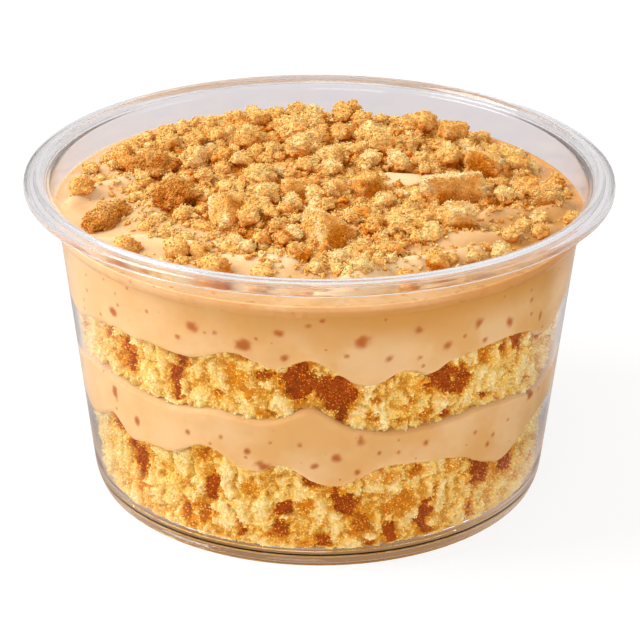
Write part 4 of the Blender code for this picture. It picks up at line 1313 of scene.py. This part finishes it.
@dataclass(frozen=True)
class Grains:
    """Loose grains strewn over other surfaces, one mesh for each kind."""

    name: str
    slot: str
    count: int
    size: tuple[float, float]
    seed: int
    proud: float
    smooth: bool = True
    spread: float = 0.40
    # lighter raises the grains' height value, so the finish paints them lighter, as painted light.
    lighter: float = 0.08

    def build(self, surface: Shell, chosen: Array, material: Material) -> None:
        """Strew the grains.

        Formula: eight-sided grains, their six corners at uneven distances, are
        turned and sunk in the surface, whose tone they take; spots are drawn by area.

        Args:
            surface: what they lie on.
            chosen: which of its points may carry a grain.
            material: their finish.
        """
        draw = np.random.default_rng(self.seed)
        facings = surface.facings()
        area = np.linalg.norm(facings, axis=1)
        spots = draw.choice(len(area), self.count, replace=False, p=area * chosen / (area * chosen).sum())
        corners = np.concatenate([np.eye(3), -np.eye(3)])
        faces = np.array([(0, 1, 2), (1, 3, 2), (3, 4, 2), (4, 0, 2),
                          (1, 0, 5), (3, 1, 5), (4, 3, 5), (0, 4, 5)])
        uneven = corners * draw.uniform(0.7, 1.3, (self.count, 6, 1))
        radius = draw.uniform(*self.size, (self.count, 1, 1))
        turned = np.einsum("nij,nvj->nvi", random_turns(draw, self.count), uneven)
        centre = surface.points[spots] + facings[spots] / area[spots, None] * radius[:, 0] * self.proud
        centre += draw.normal(0.0, 0.00008, (self.count, 3))
        triangles = faces + (np.arange(self.count) * 6)[:, None, None]
        shell = Shell((centre[:, None, :] + turned * radius).reshape(-1, 3), np.zeros((0, 4), np.int64),
                      triangles.reshape(-1, 3))
        shell.lower_to(CEILING)
        shell.values = {name: np.repeat(value[spots], 6) for name, value in surface.values.items()}
        spread = np.repeat(self.spread * draw.uniform(-0.5, 0.5, self.count), 6)
        shell.values["height"] = np.clip(shell.values["height"] + spread + self.lighter, 0.0, 1.1)
        shell.build(self.name, material, self.slot, smooth=self.smooth)


def keep_apart(spots: Array, radii: Array, taken: Array, crowding: float) -> Array:
    """Which of a run of round things keep clear of those before them.

    Args:
        spots: centres on the plane.
        radii: their radii.
        taken: rows of x, y and radius that are there already.
        crowding: 1 where things may just touch, less where they may overlap.

    Returns:
        The numbers of those kept.
    """
    placed, kept = list(taken), []
    for i, ((x, y), radius) in enumerate(zip(spots, radii)):
        near = np.array(placed)
        if np.all(np.hypot(near[:, 0] - x, near[:, 1] - y) > crowding * (near[:, 2] + radius)):
            kept.append(i)
            placed.append((x, y, radius))
    return np.array(kept)


class LumpSize(Enum):
    """Sizes of crumb strewn in the heap: how many, least and most radius, cuts, and crowding."""

    MIDDLE = (120, 0.0011, 0.0018, 6, 0.56)
    SMALL = (640, 0.0005, 0.0011, 3, 0.36)


@dataclass(frozen=True)
class HeapCrumbs:
    """The crumbs of the heap: large ones each in its own place, smaller ones strewn clear of them."""

    heap: CrumbHeap

    def build_large(self, crumbs: Array, seed: int, material: Material) -> Shell:
        """Build the large crumbs, given as rows of x, y, radius and tone."""
        rise = 0.0003 + 0.52 * np.minimum(crumbs[:, 2], 0.0023)
        height = self.heap.height(crumbs[:, 0], crumbs[:, 1]) + rise
        sizes = ((0.0023, 1.0, 16), (0.0016, 0.0023, 11), (0.0, 0.0016, 8))
        shell = sized_lumps(crumbs, height, sizes, seed, (0.80, 1.05))
        shell.lower_to(0.0647)
        shell.build("heap_crumbs_large", material, "biscuit_crumb")
        return shell

    def build_strewn(self, size: LumpSize, seed: int, taken: Array,
                     material: Material) -> tuple[Shell, Array]:
        """Place and build the crumbs of one size.

        Args:
            size: their size.
            seed: picks their places.
            taken: x, y and radius of what lies there already.
            material: their finish.

        Returns:
            Their shell, and rows of x, y and radius.
        """
        count, least, most, cuts, crowding = size.value
        draw = np.random.default_rng(seed)
        angle = draw.uniform(0.0, math.tau, 5 * count)
        radius = self.heap.outline.radius(angle) * np.sqrt(draw.uniform(0.0, 1.0, 5 * count)) * 1.02
        placed = polar(radius, angle, draw.uniform(least, most, 5 * count))
        placed = placed[keep_apart(placed[:, :2], placed[:, 2], taken, crowding)[:count]]
        x, y, radii = placed.T
        height = self.heap.height(x, y) + draw.uniform(0.05, 0.45, len(radii)) * radii
        centres = points_at(x, y, np.minimum(height, 0.0646 - 0.95 * radii))
        shell = Lumps(centres, radii, cuts, seed + 1).shell()
        shell.lower_to(0.0646)
        shell.build(f"heap_crumbs_{size.name.lower()}", material, "biscuit_crumb")
        return shell, placed


@dataclass(frozen=True)
class LooseCrumbs:
    """Crumbs lying singly on bare cream: x, y, radius and tone of each."""

    swirls: Swirls
    placed: Array = field(default_factory=lambda: rows(
        4, CRUMB,
        -195, -371, 27, 30, -365, -272, 24, 20, -269, -290, 26, 45, -228, -290, 19, 40, -107, -399, 17, 40,
        -95, -360, 10, 80, -29, -427, 10, 35, 165, -403, 14, 25, 221, -345, 22, 30, 250, -330, 12, 20,
        291, -318, 16, 80, 320, -275, 13, 2, 345, -285, 23, 90, 423, -194, 18, 45, 395, -180, 14, 50,
        368, -215, 18, 70, 400, -134, 13, 80, 340, -160, 11, 70, 497, -98, 17, 35, 430, -100, 16, 85,
        -474, 7, 22, 35, -442, 74, 15, 50, -372, 35, 15, 45, -468, 142, 14, 55, -289, -350, 15, 75,
        -325, -325, 12, 70, -255, -363, 12, 55, 80, -390, 18, 90, 112, -368, 15, 85, 56, -408, 12, 85,
        135, -352, 12, 80, -340, -160, 12, 60, -255, -225, 13, 70, -300, -195, 11, 55, -370, -20, 10, 50,
    ))
    scattered: int = 60
    banked: int = 110
    dust: int = 1000
    seed: int = 300

    def build(self, outline: HeapOutline, material: Material) -> Shell:
        """Place the named crumbs, a scatter of small ones, a bank at the back, and dust between.

        Args:
            outline: the heap that they lie round.
            material: their finish.

        Returns:
            Their shell.
        """
        draw = np.random.default_rng(self.seed)
        angle = draw.uniform(0.0, math.tau, self.scattered)
        inner = outline.radius(angle)
        radius = inner + (0.0510 - inner) * draw.uniform(0.0, 1.0, self.scattered) ** 1.6
        scatter = np.c_[polar(radius, angle, draw.uniform(0.0004, 0.0009, self.scattered)),
                        draw.uniform(0.2, 1.0, self.scattered)]
        angle = np.radians(draw.uniform(32.0, 158.0, self.banked))
        radius = draw.uniform(0.0470, 0.0502, self.banked)
        bank = np.c_[polar(radius, angle, draw.uniform(0.0007, 0.0015, self.banked)),
                     draw.uniform(0.2, 0.8, self.banked)]
        angle = draw.uniform(0.0, math.tau, self.dust)
        radius = outline.radius(angle) + np.abs(draw.normal(0.0, 0.0032, self.dust))
        beside = self.placed[draw.integers(0, len(self.placed), self.dust), :2]
        beside = beside + draw.normal(0.0, 0.0019, (self.dust, 2))
        near_heap = draw.uniform(0.0, 1.0, (self.dust, 1)) < 0.6
        spots = np.where(near_heap, polar(radius, angle)[:, :2], beside)
        spots = spots[np.hypot(*spots.T) < 0.0505]
        dust = np.c_[spots, draw.uniform(0.00020, 0.00045, len(spots)), draw.uniform(0.2, 0.9, len(spots))]
        crumbs = np.concatenate([self.placed, scatter, bank, dust])
        height = self.swirls.height(crumbs[:, 0], crumbs[:, 1]) + 0.32 * crumbs[:, 2]
        sizes = ((0.0012, 1.0, 6), (0.0005, 0.0012, 3), (0.0, 0.0005, 2))
        shell = sized_lumps(crumbs, height, sizes, self.seed, (0.75, 0.95))
        shell.build("cream_crumbs", material, "biscuit_crumb")
        return shell


def carry_painted_shade(shells: list[Shell], swirls: Swirls, cell: float = 0.0004, reach: int = 4) -> None:
    """Give every point in a crowd of crumbs its depth between its neighbours, which the crumb finish paints
    as shade.

    Formula: the highest point in each cell of a square grid, evened out over a few
    cells either way, less the point's own height, over 1.3 mm.

    Args:
        shells: built crumbs and what they lie among.
        swirls: the cream, which fills cells where there are none.
        cell: width of a cell.
        reach: cells that are averaged on each side.
    """
    line = np.arange(-0.054, 0.054, cell)
    highest = swirls.height(*np.meshgrid(line, line, indexing="ij"))
    spots = [tuple(np.clip(((shell.points[:, :2] + 0.054) / cell).astype(int), 0, len(line) - 1).T)
             for shell in shells]
    for shell, spot in zip(shells, spots):
        np.maximum.at(highest, spot, shell.points[:, 2])
    for axis in (0, 1):
        highest = sum(np.roll(highest, step, axis) for step in range(-reach, reach + 1)) / (2 * reach + 1)
    for shell, spot in zip(shells, spots):
        shell.carry("deep", np.clip((highest[spot] - shell.points[:, 2]) / 0.0013, 0.0, 1.0))


# ---- chunks
def block_corners(x: float, y: float, top: float, size: tuple, turn: tuple) -> Array:
    """The eight corners of a block, turned and set with its highest one at top."""
    turned = 0.5 * CUBE_SIGNS * np.array(size) @ np.array(Euler(np.radians(turn)).to_matrix().transposed())
    return turned + np.array([x, y, top - turned[:, 2].max()])


@dataclass(frozen=True)
class BiscuitChunk:
    """A broken piece of biscuit: flat granular faces between crumbling edges."""

    node: str
    seed: int
    tone: float
    # browned: the side painted browner, partly a broken face and partly painted shade; brown: how much.
    browned: Triple
    brown: float
    corners: Array
    cuts: int = 30
    rough: float = 0.00030

    def build(self, material: Material) -> Shell:
        """Build the chunk and hang it in place of its CAD node.

        Formula: a cut cube with its corners drawn in is fitted between the eight
        corners, each point the mean of them weighed by its nearness to each; noise
        roughens it, domes of grains lie on it, and its edges crumble. It is browner
        towards one side, which is given as a direction in the cube: partly a broken
        face, partly painted shade on the side turned from the key light.
        """
        base, quads = cube_sphere(self.cuts)
        length = np.linalg.norm(base, axis=1, keepdims=True)
        worn = base * (1.0 - 0.15 * np.maximum(length - 1.1, 0.0))
        points = np.prod(0.5 + 0.5 * worn[:, None, :] * CUBE_SIGNS, axis=-1) @ self.corners
        rough = noise_vectors(points, 0.0030, self.seed)
        points = points + self.rough * rough
        grains = cell_noise(points, 0.00055, self.seed + 20)
        edge = smoothstep(0.70, 1.0, np.sort(np.abs(base), axis=1)[:, 1])
        bites = 1.0 - cell_noise(points, 0.0013, self.seed + 30).parted(0.30)
        lift = 0.00016 * grains.bumps(0.3) - 0.00008 - 0.00022 * edge * bites
        shell = Shell(points + unit(Shell(points, quads).facings()) * lift[:, None], quads)
        shell.lower_to(CEILING)
        # Painted shade, partly a broken face: the given side is darker towards toast.
        face = smoothstep(0.55, 0.95, base @ np.array(self.browned)) - 0.35 * edge
        shell.values["tone"] = self.tone + 0.10 * rough[:, 0] + 0.10 * edge - self.brown * face
        # The finish paints points with greater height lighter: painted light on the grains, painted shade
        # between them.
        shell.values["height"] = np.clip(0.35 + 0.75 * grains.bumps(), 0.0, 1.0)
        shell.build(f"{self.node}_baked", material, "biscuit", self.node)
        return shell


@dataclass(frozen=True)
class CakeClump:
    """A browned clump of cake: a squat lump with coarse granular skin."""

    node: str
    x: float
    y: float
    top: float
    radii: Triple
    turn: float
    seed: int
    tone: float

    def build(self, material: Material) -> Shell:
        """Build the clump and hang it in place of its CAD node.

        Formula: a cut cube drawn to a sphere, stretched to the radii, swollen by
        noise and covered in domes of lumps and grains.
        """
        base, quads = cube_sphere(30)
        ball = unit(base)
        swell = fractal_noise(ball * 1.3 + self.seed, 1.0, self.seed, 2)
        body = ball * np.array(self.radii) * (1.0 + 0.20 * swell)[:, None]
        lumps = cell_noise(body, 0.0019, self.seed + 5)
        grains = cell_noise(body, 0.00060, self.seed + 9)
        body = body + ball * (0.0010 * lumps.bumps() + 0.00030 * grains.bumps() - 0.0005)[:, None]
        body = body @ np.array(Matrix.Rotation(math.radians(self.turn), 3, 'Z').transposed())
        shell = Shell(body + np.array([self.x, self.y, self.top - body[:, 2].max()]), quads)
        # Painted light: the side of the clump turned to the key light is paler.
        shell.values["tone"] = self.tone + 0.25 * swell + 0.30 * (lumps.tone - 0.5) + 0.25 * (ball @ LIT_SIDE)
        # The finish paints points with greater height lighter: painted light on grains and lumps, painted
        # shade between them.
        high = 0.20 + 0.55 * grains.bumps(0.3) + 0.35 * lumps.bumps()
        shell.values["height"] = np.clip(high, 0.0, 1.0)
        shell.build(f"{self.node}_crust", material, "browned_cake", self.node)
        return shell


# The browner side of each chunk: partly its broken face, partly painted shade on the side away from the key
# light.
FRONT, RIGHT = (0, -1, 0), (1, 0, 0)
BISCUIT_CHUNKS = (
    BiscuitChunk("biscuit_slab", 101, 1.05, FRONT, 0.55, rows(
        3, TENTHS,
        218, -45, 585, 339, -34, 580, 177, -17, 579, 328, 4, 572, 212, -41, 644, 324, -19, 648,
        200, -3, 634, 318, 21, 639), 40),
    BiscuitChunk("biscuit_wedge", 102, 0.90, RIGHT, 0.80, rows(
        3, TENTHS,
        -46, -212, 596, 15, -267, 583, 5, -185, 570, 56, -249, 575, -30, -179, 644, 5, -221, 648,
        42, -155, 600, 84, -211, 598), 36),
    BiscuitChunk("biscuit_flake", 104, 0.70, RIGHT, 0.50, rows(
        3, TENTHS,
        -209, -178, 584, -170, -168, 607, -173, -165, 560, -134, -154, 583, -224, -104, 627,
        -189, -111, 646, -188, -90, 603, -153, -98, 622)),
    BiscuitChunk("biscuit_cube", 103, 0.68, (0, -0.7, -0.7), 0.60, block_corners(
        0.0270, -0.0165, 0.0643, (0.0056, 0.0050, 0.0054), (6, 8, 18))),
    BiscuitChunk("biscuit_shard", 105, 0.60, FRONT, 0.40, block_corners(
        -0.0033, -0.0018, 0.0640, (0.0080, 0.0046, 0.0050), (-20, 8, 20)), rough=0.00055),
    BiscuitChunk("biscuit_stub", 106, 0.55, FRONT, 0.50, block_corners(
        0.0090, -0.0008, 0.0642, (0.0060, 0.0054, 0.0054), (-15, 6, 38)), rough=0.00060),
    BiscuitChunk("biscuit_block_right", 107, 0.60, FRONT, 0.45, block_corners(
        0.0333, 0.0131, 0.0640, (0.0072, 0.0050, 0.0052), (-12, 14, -20)), rough=0.00055),
    BiscuitChunk("biscuit_block_back", 108, 0.40, RIGHT, 0.40, block_corners(
        0.0281, 0.0313, 0.0638, (0.0052, 0.0046, 0.0046), (-8, 12, 24)), rough=0.00060),
)
CAKE_CLUMPS = (
    CakeClump("cake_clump_left", -0.0285, -0.0049, 0.0640, (0.0047, 0.0044, 0.0031), 0, 201, 0.50),
    CakeClump("cake_clump_front", -0.0419, -0.0104, 0.0608, (0.0036, 0.0072, 0.0024), -28, 202, 0.60),
    CakeClump("cake_clump_back", -0.0342, 0.0127, 0.0634, (0.0050, 0.0040, 0.0028), 10, 203, 0.45),
    CakeClump("cake_clump_right", 0.0450, -0.0020, 0.0622, (0.0034, 0.0034, 0.0028), 0, 204, 0.80),
)

# The heap's large crumbs: x, y, radius and tone, from browned at 0 to pale at 100.
HEAP_LUMPS = rows(
    4, CRUMB,
    -289, 340, 13, 45, -262, 244, 19, 35, -219, 275, 17, 35, -198, 152, 25, 22, -148, 430, 18, 50,
    -132, 368, 19, 45, -96, 400, 20, 45, -47, 445, 20, 45, -11, 402, 28, 60, -59, 308, 34, 55,
    -6, 260, 26, 50, -123, 41, 29, 60, -84, 82, 16, 70, -188, -4, 16, 45, 27, 127, 29, 60,
    -259, 139, 26, 85, -101, -67, 22, 70, -45, 178, 25, 70, -152, 258, 26, 45, 54, 428, 26, 40,
    90, 391, 20, 45, 127, 430, 12, 45, 103, 293, 24, 75, 134, 245, 30, 50, 182, 264, 17, 50,
    209, 368, 33, 55, 251, 265, 16, 55, 308, 272, 17, 65, 206, 165, 17, 65, 158, 147, 22, 90,
    107, 146, 18, 85, 264, 166, 30, 65, 125, -69, 21, 70, 215, 112, 14, 70, 27, -39, 20, 80,
    17, -97, 12, 60, -133, -167, 20, 45, -53, -93, 18, 95, -166, -243, 20, 100, -140, -257, 15, 100,
    -190, -232, 13, 95, -73, -305, 14, 90, -39, -314, 19, 30, -5, -355, 18, 65, 39, -360, 16, 85,
    40, -325, 13, 90, -70, -246, 16, 25, 134, -282, 19, 35, 88, -312, 18, 40, 60, -145, 15, 45,
    107, -188, 19, 30, 146, -188, 16, 50, 173, -100, 16, 60, 178, -202, 14, 40, 216, -217, 20, 75,
    205, -151, 14, 50, -401, 183, 21, 40, -317, 232, 22, 35, -357, -2, 14, 55, 367, -33, 20, 70,
    418, 33, 23, 30, 412, 180, 19, 40, 429, 214, 13, 40, 367, 54, 14, 20, -156, -79, 16, 30,
    -95, -156, 16, 30, -109, -242, 16, 35, -30, 98, 17, 60, 69, 203, 19, 45, 42, 310, 20, 55,
    -182, 392, 17, 60, -234, 366, 15, 60, 162, 449, 17, 50, 250, 425, 16, 50, -98, 200, 19, 50,
    -158, 135, 18, 60, -235, 55, 14, 70, -225, -50, 14, 30, 480, 95, 18, 20, 360, 220, 18, 45,
    345, 350, 16, 50,
)

# Toffee specks that show at the wall: bearing, height, half-width along the wall and half-height.
UPPER_SPECKS = solid_specks(
    -50, 480, 9, 9, -27, 510, 9, 9, -16, 490, 13, 9, 9, 500, 14, 12, 21, 515, 9, 8, 28, 470, 10, 9,
    36, 500, 8, 9, 45, 480, 9, 9, 57, 455, 5, 10, -8, 520, 8, 6, -2, 540, 6, 4, 0.8, 550, 4, 3,
    -22, 506, 5, 5, -7, 470, 7, 6, 15, 462, 7, 6, 6, 474, 4, 3, 22, 456, 6, 5, -31, 480, 5, 4,
    38, 460, 4, 4, 52, 505, 4, 5,
)
LOWER_SPECKS = solid_specks(
    -53.5, 290, 8, 12, -46, 254, 6, 10, -22, 280, 5, 5, -16, 257, 6, 6, -12, 227, 14, 11, -4, 280, 5, 5,
    -0.7, 235, 7, 6, 4, 250, 8, 8, 9.5, 287, 7, 9, 9, 218, 5, 5, 25, 265, 5, 6, 38.5, 256, 4, 4,
    44.5, 234, 4, 4, 43, 215, 4, 5, 58, 280, 10, 13, -30.5, 273, 4, 4, 14, 257, 3.5, 3.5,
    -10.5, 282, 3.5, 3, 18.5, 254, 3, 3.5,
)

# Browned crust that shows at the wall: bearing, height, half-width along the wall, half-height
# and strength, from golden at 50 to brown at 100.
UPPER_CRUST = np.concatenate([rows(
    5, CRUST,
    -55, 418, 26, 16, 60, -48, 395, 20, 46, 75, -52, 372, 16, 20, 50, -32, 420, 13, 24, 85,
    -34.5, 375, 17, 36, 85, -22.5, 368, 15, 15, 60, -17, 454, 20, 8, 70, -18, 410, 22, 26, 40,
    -11.5, 422, 22, 12, 75, -4.5, 410, 36, 42, 100, 4.8, 390, 38, 44, 100, 5.5, 343, 18, 16, 95,
    -12, 336, 20, 9, 60, -15.5, 376, 9, 10, 50, 12.2, 332, 16, 12, 80, 13.4, 370, 9, 15, 55,
    16, 418, 12, 8, 70, 21.5, 353, 9, 11, 50, 19, 316, 12, 6, 75, 25.3, 321, 12, 8, 60, 31, 310, 10, 8, 80,
    28.5, 396, 29, 39, 100, 34, 386, 26, 34, 80, 39.6, 416, 19, 22, 55, 46, 414, 15, 16, 65,
    50.6, 420, 21, 23, 90, 52, 386, 14, 16, 45, 41.5, 325, 17, 7, 70, 57, 316, 16, 9, 50,
    60.5, 396, 14, 8, 80,
), strewn_spots(16, (35, 42, 1.8, 4.0, 1.8, 4.4), 410)])
LOWER_CRUST = np.concatenate([rows(
    5, CRUST,
    -57, 215, 25, 24, 80, -49.5, 165, 26, 54, 75, -50, 90, 16, 24, 45, -28, 224, 15, 21, 60,
    -26, 156, 17, 42, 85, -29, 90, 18, 34, 60, -33.5, 76, 19, 26, 60, -19, 68, 9, 20, 75,
    -16.5, 166, 17, 21, 45, -12, 154, 8, 12, 50, -8, 122, 22, 16, 85, -9.5, 80, 17, 30, 70,
    -1, 193, 23, 16, 95, 4.4, 170, 13, 16, 75, 7, 138, 30, 26, 100, 8.2, 113, 9, 15, 80,
    1.5, 100, 10, 13, 60, 1.5, 50, 23, 15, 80, 13, 154, 17, 9, 55, 13, 46, 15, 10, 80, 17, 120, 10, 15, 55,
    18.5, 60, 14, 22, 95, 27, 86, 17, 31, 95, 29, 48, 16, 10, 80, 29.5, 136, 8, 20, 60, 24, 198, 13, 15, 60,
    16, 194, 36, 18, 35, 34, 193, 26, 18, 40, 44, 152, 35, 39, 80, 41, 182, 12, 14, 90,
    53.6, 136, 27, 40, 80, 41, 66, 15, 24, 70, -4, 50, 12, 10, 50, 11.5, 94, 28, 30, 60,
    22, 124, 24, 30, 50, -3, 130, 20, 22, 50,
), strewn_spots(26, (6, 19, 1.4, 3.2, 1.6, 5.0), 420)])


# ---- studio
@dataclass(frozen=True)
class SoftLight:
    """A square softbox aimed at the middle of the tub."""

    name: str
    place: Triple
    width: float
    power: float
    colour: Colour = (1.0, 1.0, 1.0)

    def build(self, aim: Vector) -> None:
        """Hang the light and turn it to the aim."""
        lamp = bpy.data.lights.new(self.name, 'AREA')
        lamp.shape, lamp.size, lamp.energy, lamp.color = 'SQUARE', self.width, self.power, self.colour
        hung = linked(self.name, lamp)
        hung.location = self.place
        hung.rotation_euler = (aim - Vector(self.place)).to_track_quat('-Z', 'Y').to_euler()


@dataclass(frozen=True)
class Studio:
    """A white table, soft lights, a bright room and the camera."""

    elevation: float = 24.6
    distance: float = 0.50
    roll: float = 0.35
    aim: Triple = (0.00028, 0.0, 0.0316)
    lens: float = 137.76
    lights: tuple[SoftLight, ...] = (
        SoftLight("key_light", (-0.60, -0.05, 0.65), 0.45, 7.2, (1.0, 0.985, 0.96)),
        SoftLight("front_light", (-0.20, -0.90, 0.50), 0.60, 3.1),
        SoftLight("right_light", (0.80, -0.25, 0.35), 0.50, 1.4),
    )

    def build_floor(self, material: Material) -> None:
        """A wide flat table under the tub."""
        mesh = bpy.data.meshes.new("table_top")
        mesh.from_pydata([(-3, -3, 0), (3, -3, 0), (3, 3, 0), (-3, 3, 0)], [], [(0, 1, 2, 3)])
        mesh.materials.append(material)
        floor = linked("table_top", mesh)
        floor.location.z = -0.0001

    def build_room(self) -> None:
        """A pale room: bright above and behind, greyer low down in front."""
        world = bpy.data.worlds.new("studio_room")
        bpy.context.scene.world = world
        world.use_nodes = True
        tree = Tree(world.node_tree)
        way = tree.add("SeparateXYZ", tree.add("TexCoord").outputs["Generated"]).outputs
        light = tree.math('MULTIPLY', tree.ramp(way["Z"], -0.1, 0.8, 0.50, 0.95),
                          tree.ramp(way["Y"], -0.8, 0.3, 0.70, 1.0))
        seen = tree.mix(tree.add("LightPath").outputs["Is Camera Ray"], light, (1.0, 1.0, 1.0))
        tree.fill(world.node_tree.nodes["Background"], Color=seen, Strength=1.0)

    def build_camera(self) -> None:
        """The camera, aimed at the tub from the front and above, with a slight roll."""
        camera = bpy.data.cameras.new("camera")
        camera.lens, camera.sensor_width, camera.clip_start = self.lens, 36.0, 0.01
        held = linked("camera", camera)
        rise = math.radians(self.elevation)
        back = Vector((0.0, -math.cos(rise), math.sin(rise)))
        held.location = Vector(self.aim) + self.distance * back
        turned = back.to_track_quat('Z', 'Y').to_matrix() @ Matrix.Rotation(math.radians(self.roll), 3, 'Z')
        held.rotation_euler = turned.to_euler()
        bpy.context.scene.camera = held

    def build(self, floor: Material) -> None:
        """Set up everything that isn't the part."""
        self.build_floor(floor)
        self.build_room()
        self.build_camera()
        for light in self.lights:
            light.build(Vector(self.aim))
        bpy.context.scene.view_settings.view_transform = 'Standard'


# ---- the part
@dataclass
class JarCake:
    """The whole part: the tub, its four layers and what lies on top."""

    tub: Tub
    groups: Groups
    swirls: Swirls = field(default_factory=Swirls)
    outline: HeapOutline = field(default_factory=HeapOutline)

    def build_layers(self) -> None:
        """Sponge, cream, sponge and cream, with grains on the sponge."""
        crumb = SpongeCrumb(self.groups).build()
        inside = CaramelCream(self.groups, "caramel_cream_inside").build()
        CreamBand(LOWER_SPONGE_EDGE, LOWER_CREAM_EDGE, LOWER_SPECKS).build(self.tub, inside)
        for sponge, count, seed in (
            (Sponge("sponge_lower", LOWER_SPONGE_EDGE, LOWER_CRUST, 11), 11000, 510),
            (Sponge("sponge_upper", UPPER_SPONGE_EDGE, UPPER_CRUST, 23, LOWER_CREAM_EDGE), 8000, 520),
        ):
            shell, seen = sponge.build(self.tub, crumb)
            Grains(f"{sponge.name}_grains", "sponge", count, (0.00015, 0.00030), seed, 0.45, False, 0.3,
                   0.16).build(shell, seen, crumb)
        top = CaramelCream(self.groups, "caramel_cream_top", 0.30).build()
        TopCream(UPPER_SPONGE_EDGE, self.swirls, UPPER_SPECKS).build(self.tub, top)

    def build_toppings(self) -> None:
        """The heap, its crumbs, the chunks and clumps, and loose grains over them all."""
        crumb = BakedCrumb(self.groups, "biscuit_crumb").build()
        biscuit = BakedCrumb(self.groups, "biscuit", (1.0, 0.71, 0.35), (0.92, 0.45, 0.130),
                             (0.60, 0.19, 0.026)).build()
        browned = BakedCrumb(self.groups, "browned_cake", (0.92, 0.50, 0.18), (0.74, 0.27, 0.060),
                             (0.46, 0.120, 0.022)).build()
        heap = CrumbHeap(self.outline, self.swirls)
        crumbs = HeapCrumbs(heap)
        shells = [heap.build(crumb)]
        blocks = [chunk.build(biscuit) for chunk in BISCUIT_CHUNKS]
        lumps = [clump.build(browned) for clump in CAKE_CLUMPS]
        shells.append(crumbs.build_large(HEAP_LUMPS, 140, crumb))
        taken = np.array([
            *((*c.corners[:, :2].mean(0), 0.42 * np.ptp(c.corners[:, 0])) for c in BISCUIT_CHUNKS),
            *((c.x, c.y, min(c.radii[:2])) for c in CAKE_CLUMPS), heap.patch, *HEAP_LUMPS[:, :3],
        ])
        for size, seed in zip(LumpSize, (150, 160)):
            shell, placed = crumbs.build_strewn(size, seed, taken, crumb)
            shells.append(shell)
            taken = np.concatenate([taken, placed])
        shells.append(LooseCrumbs(self.swirls).build(self.outline, crumb))
        # Painted shade between the crumbs, from how low each point lies.
        carry_painted_shade(shells + blocks + lumps, self.swirls)
        chunks, clumps, topping = joined(blocks), joined(lumps), joined(shells)
        for grains, surface, finish in (
            *((Grains(f"crumb_grains_{part}", "biscuit_crumb", 18500, (0.00016, 0.00028), 499 + part, 0.65),
               topping, crumb) for part in (1, 2, 3)),
            (Grains("biscuit_grains", "biscuit", 4600, (0.00013, 0.00021), 502, 0.35), chunks, biscuit),
            (Grains("clump_grains", "browned_cake", 3400, (0.00016, 0.00030), 503, 0.60), clumps, browned),
        ):
            grains.build(surface, unit(surface.facings())[:, 2] > -0.15, finish)


def main() -> None:
    """Dress the frame, set up the studio and report each piece."""
    logging.basicConfig(level=logging.INFO, format="%(message)s")
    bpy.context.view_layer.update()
    groups = Groups(crumb_grain_group(), tone_drift_group(), speck_group())
    tub = Tub()
    tub.build(ClearPlastic().build())
    cake = JarCake(tub, groups)
    cake.build_layers()
    cake.build_toppings()
    Studio().build(PaleFloor().build())


if __name__ == "__main__":
    main()
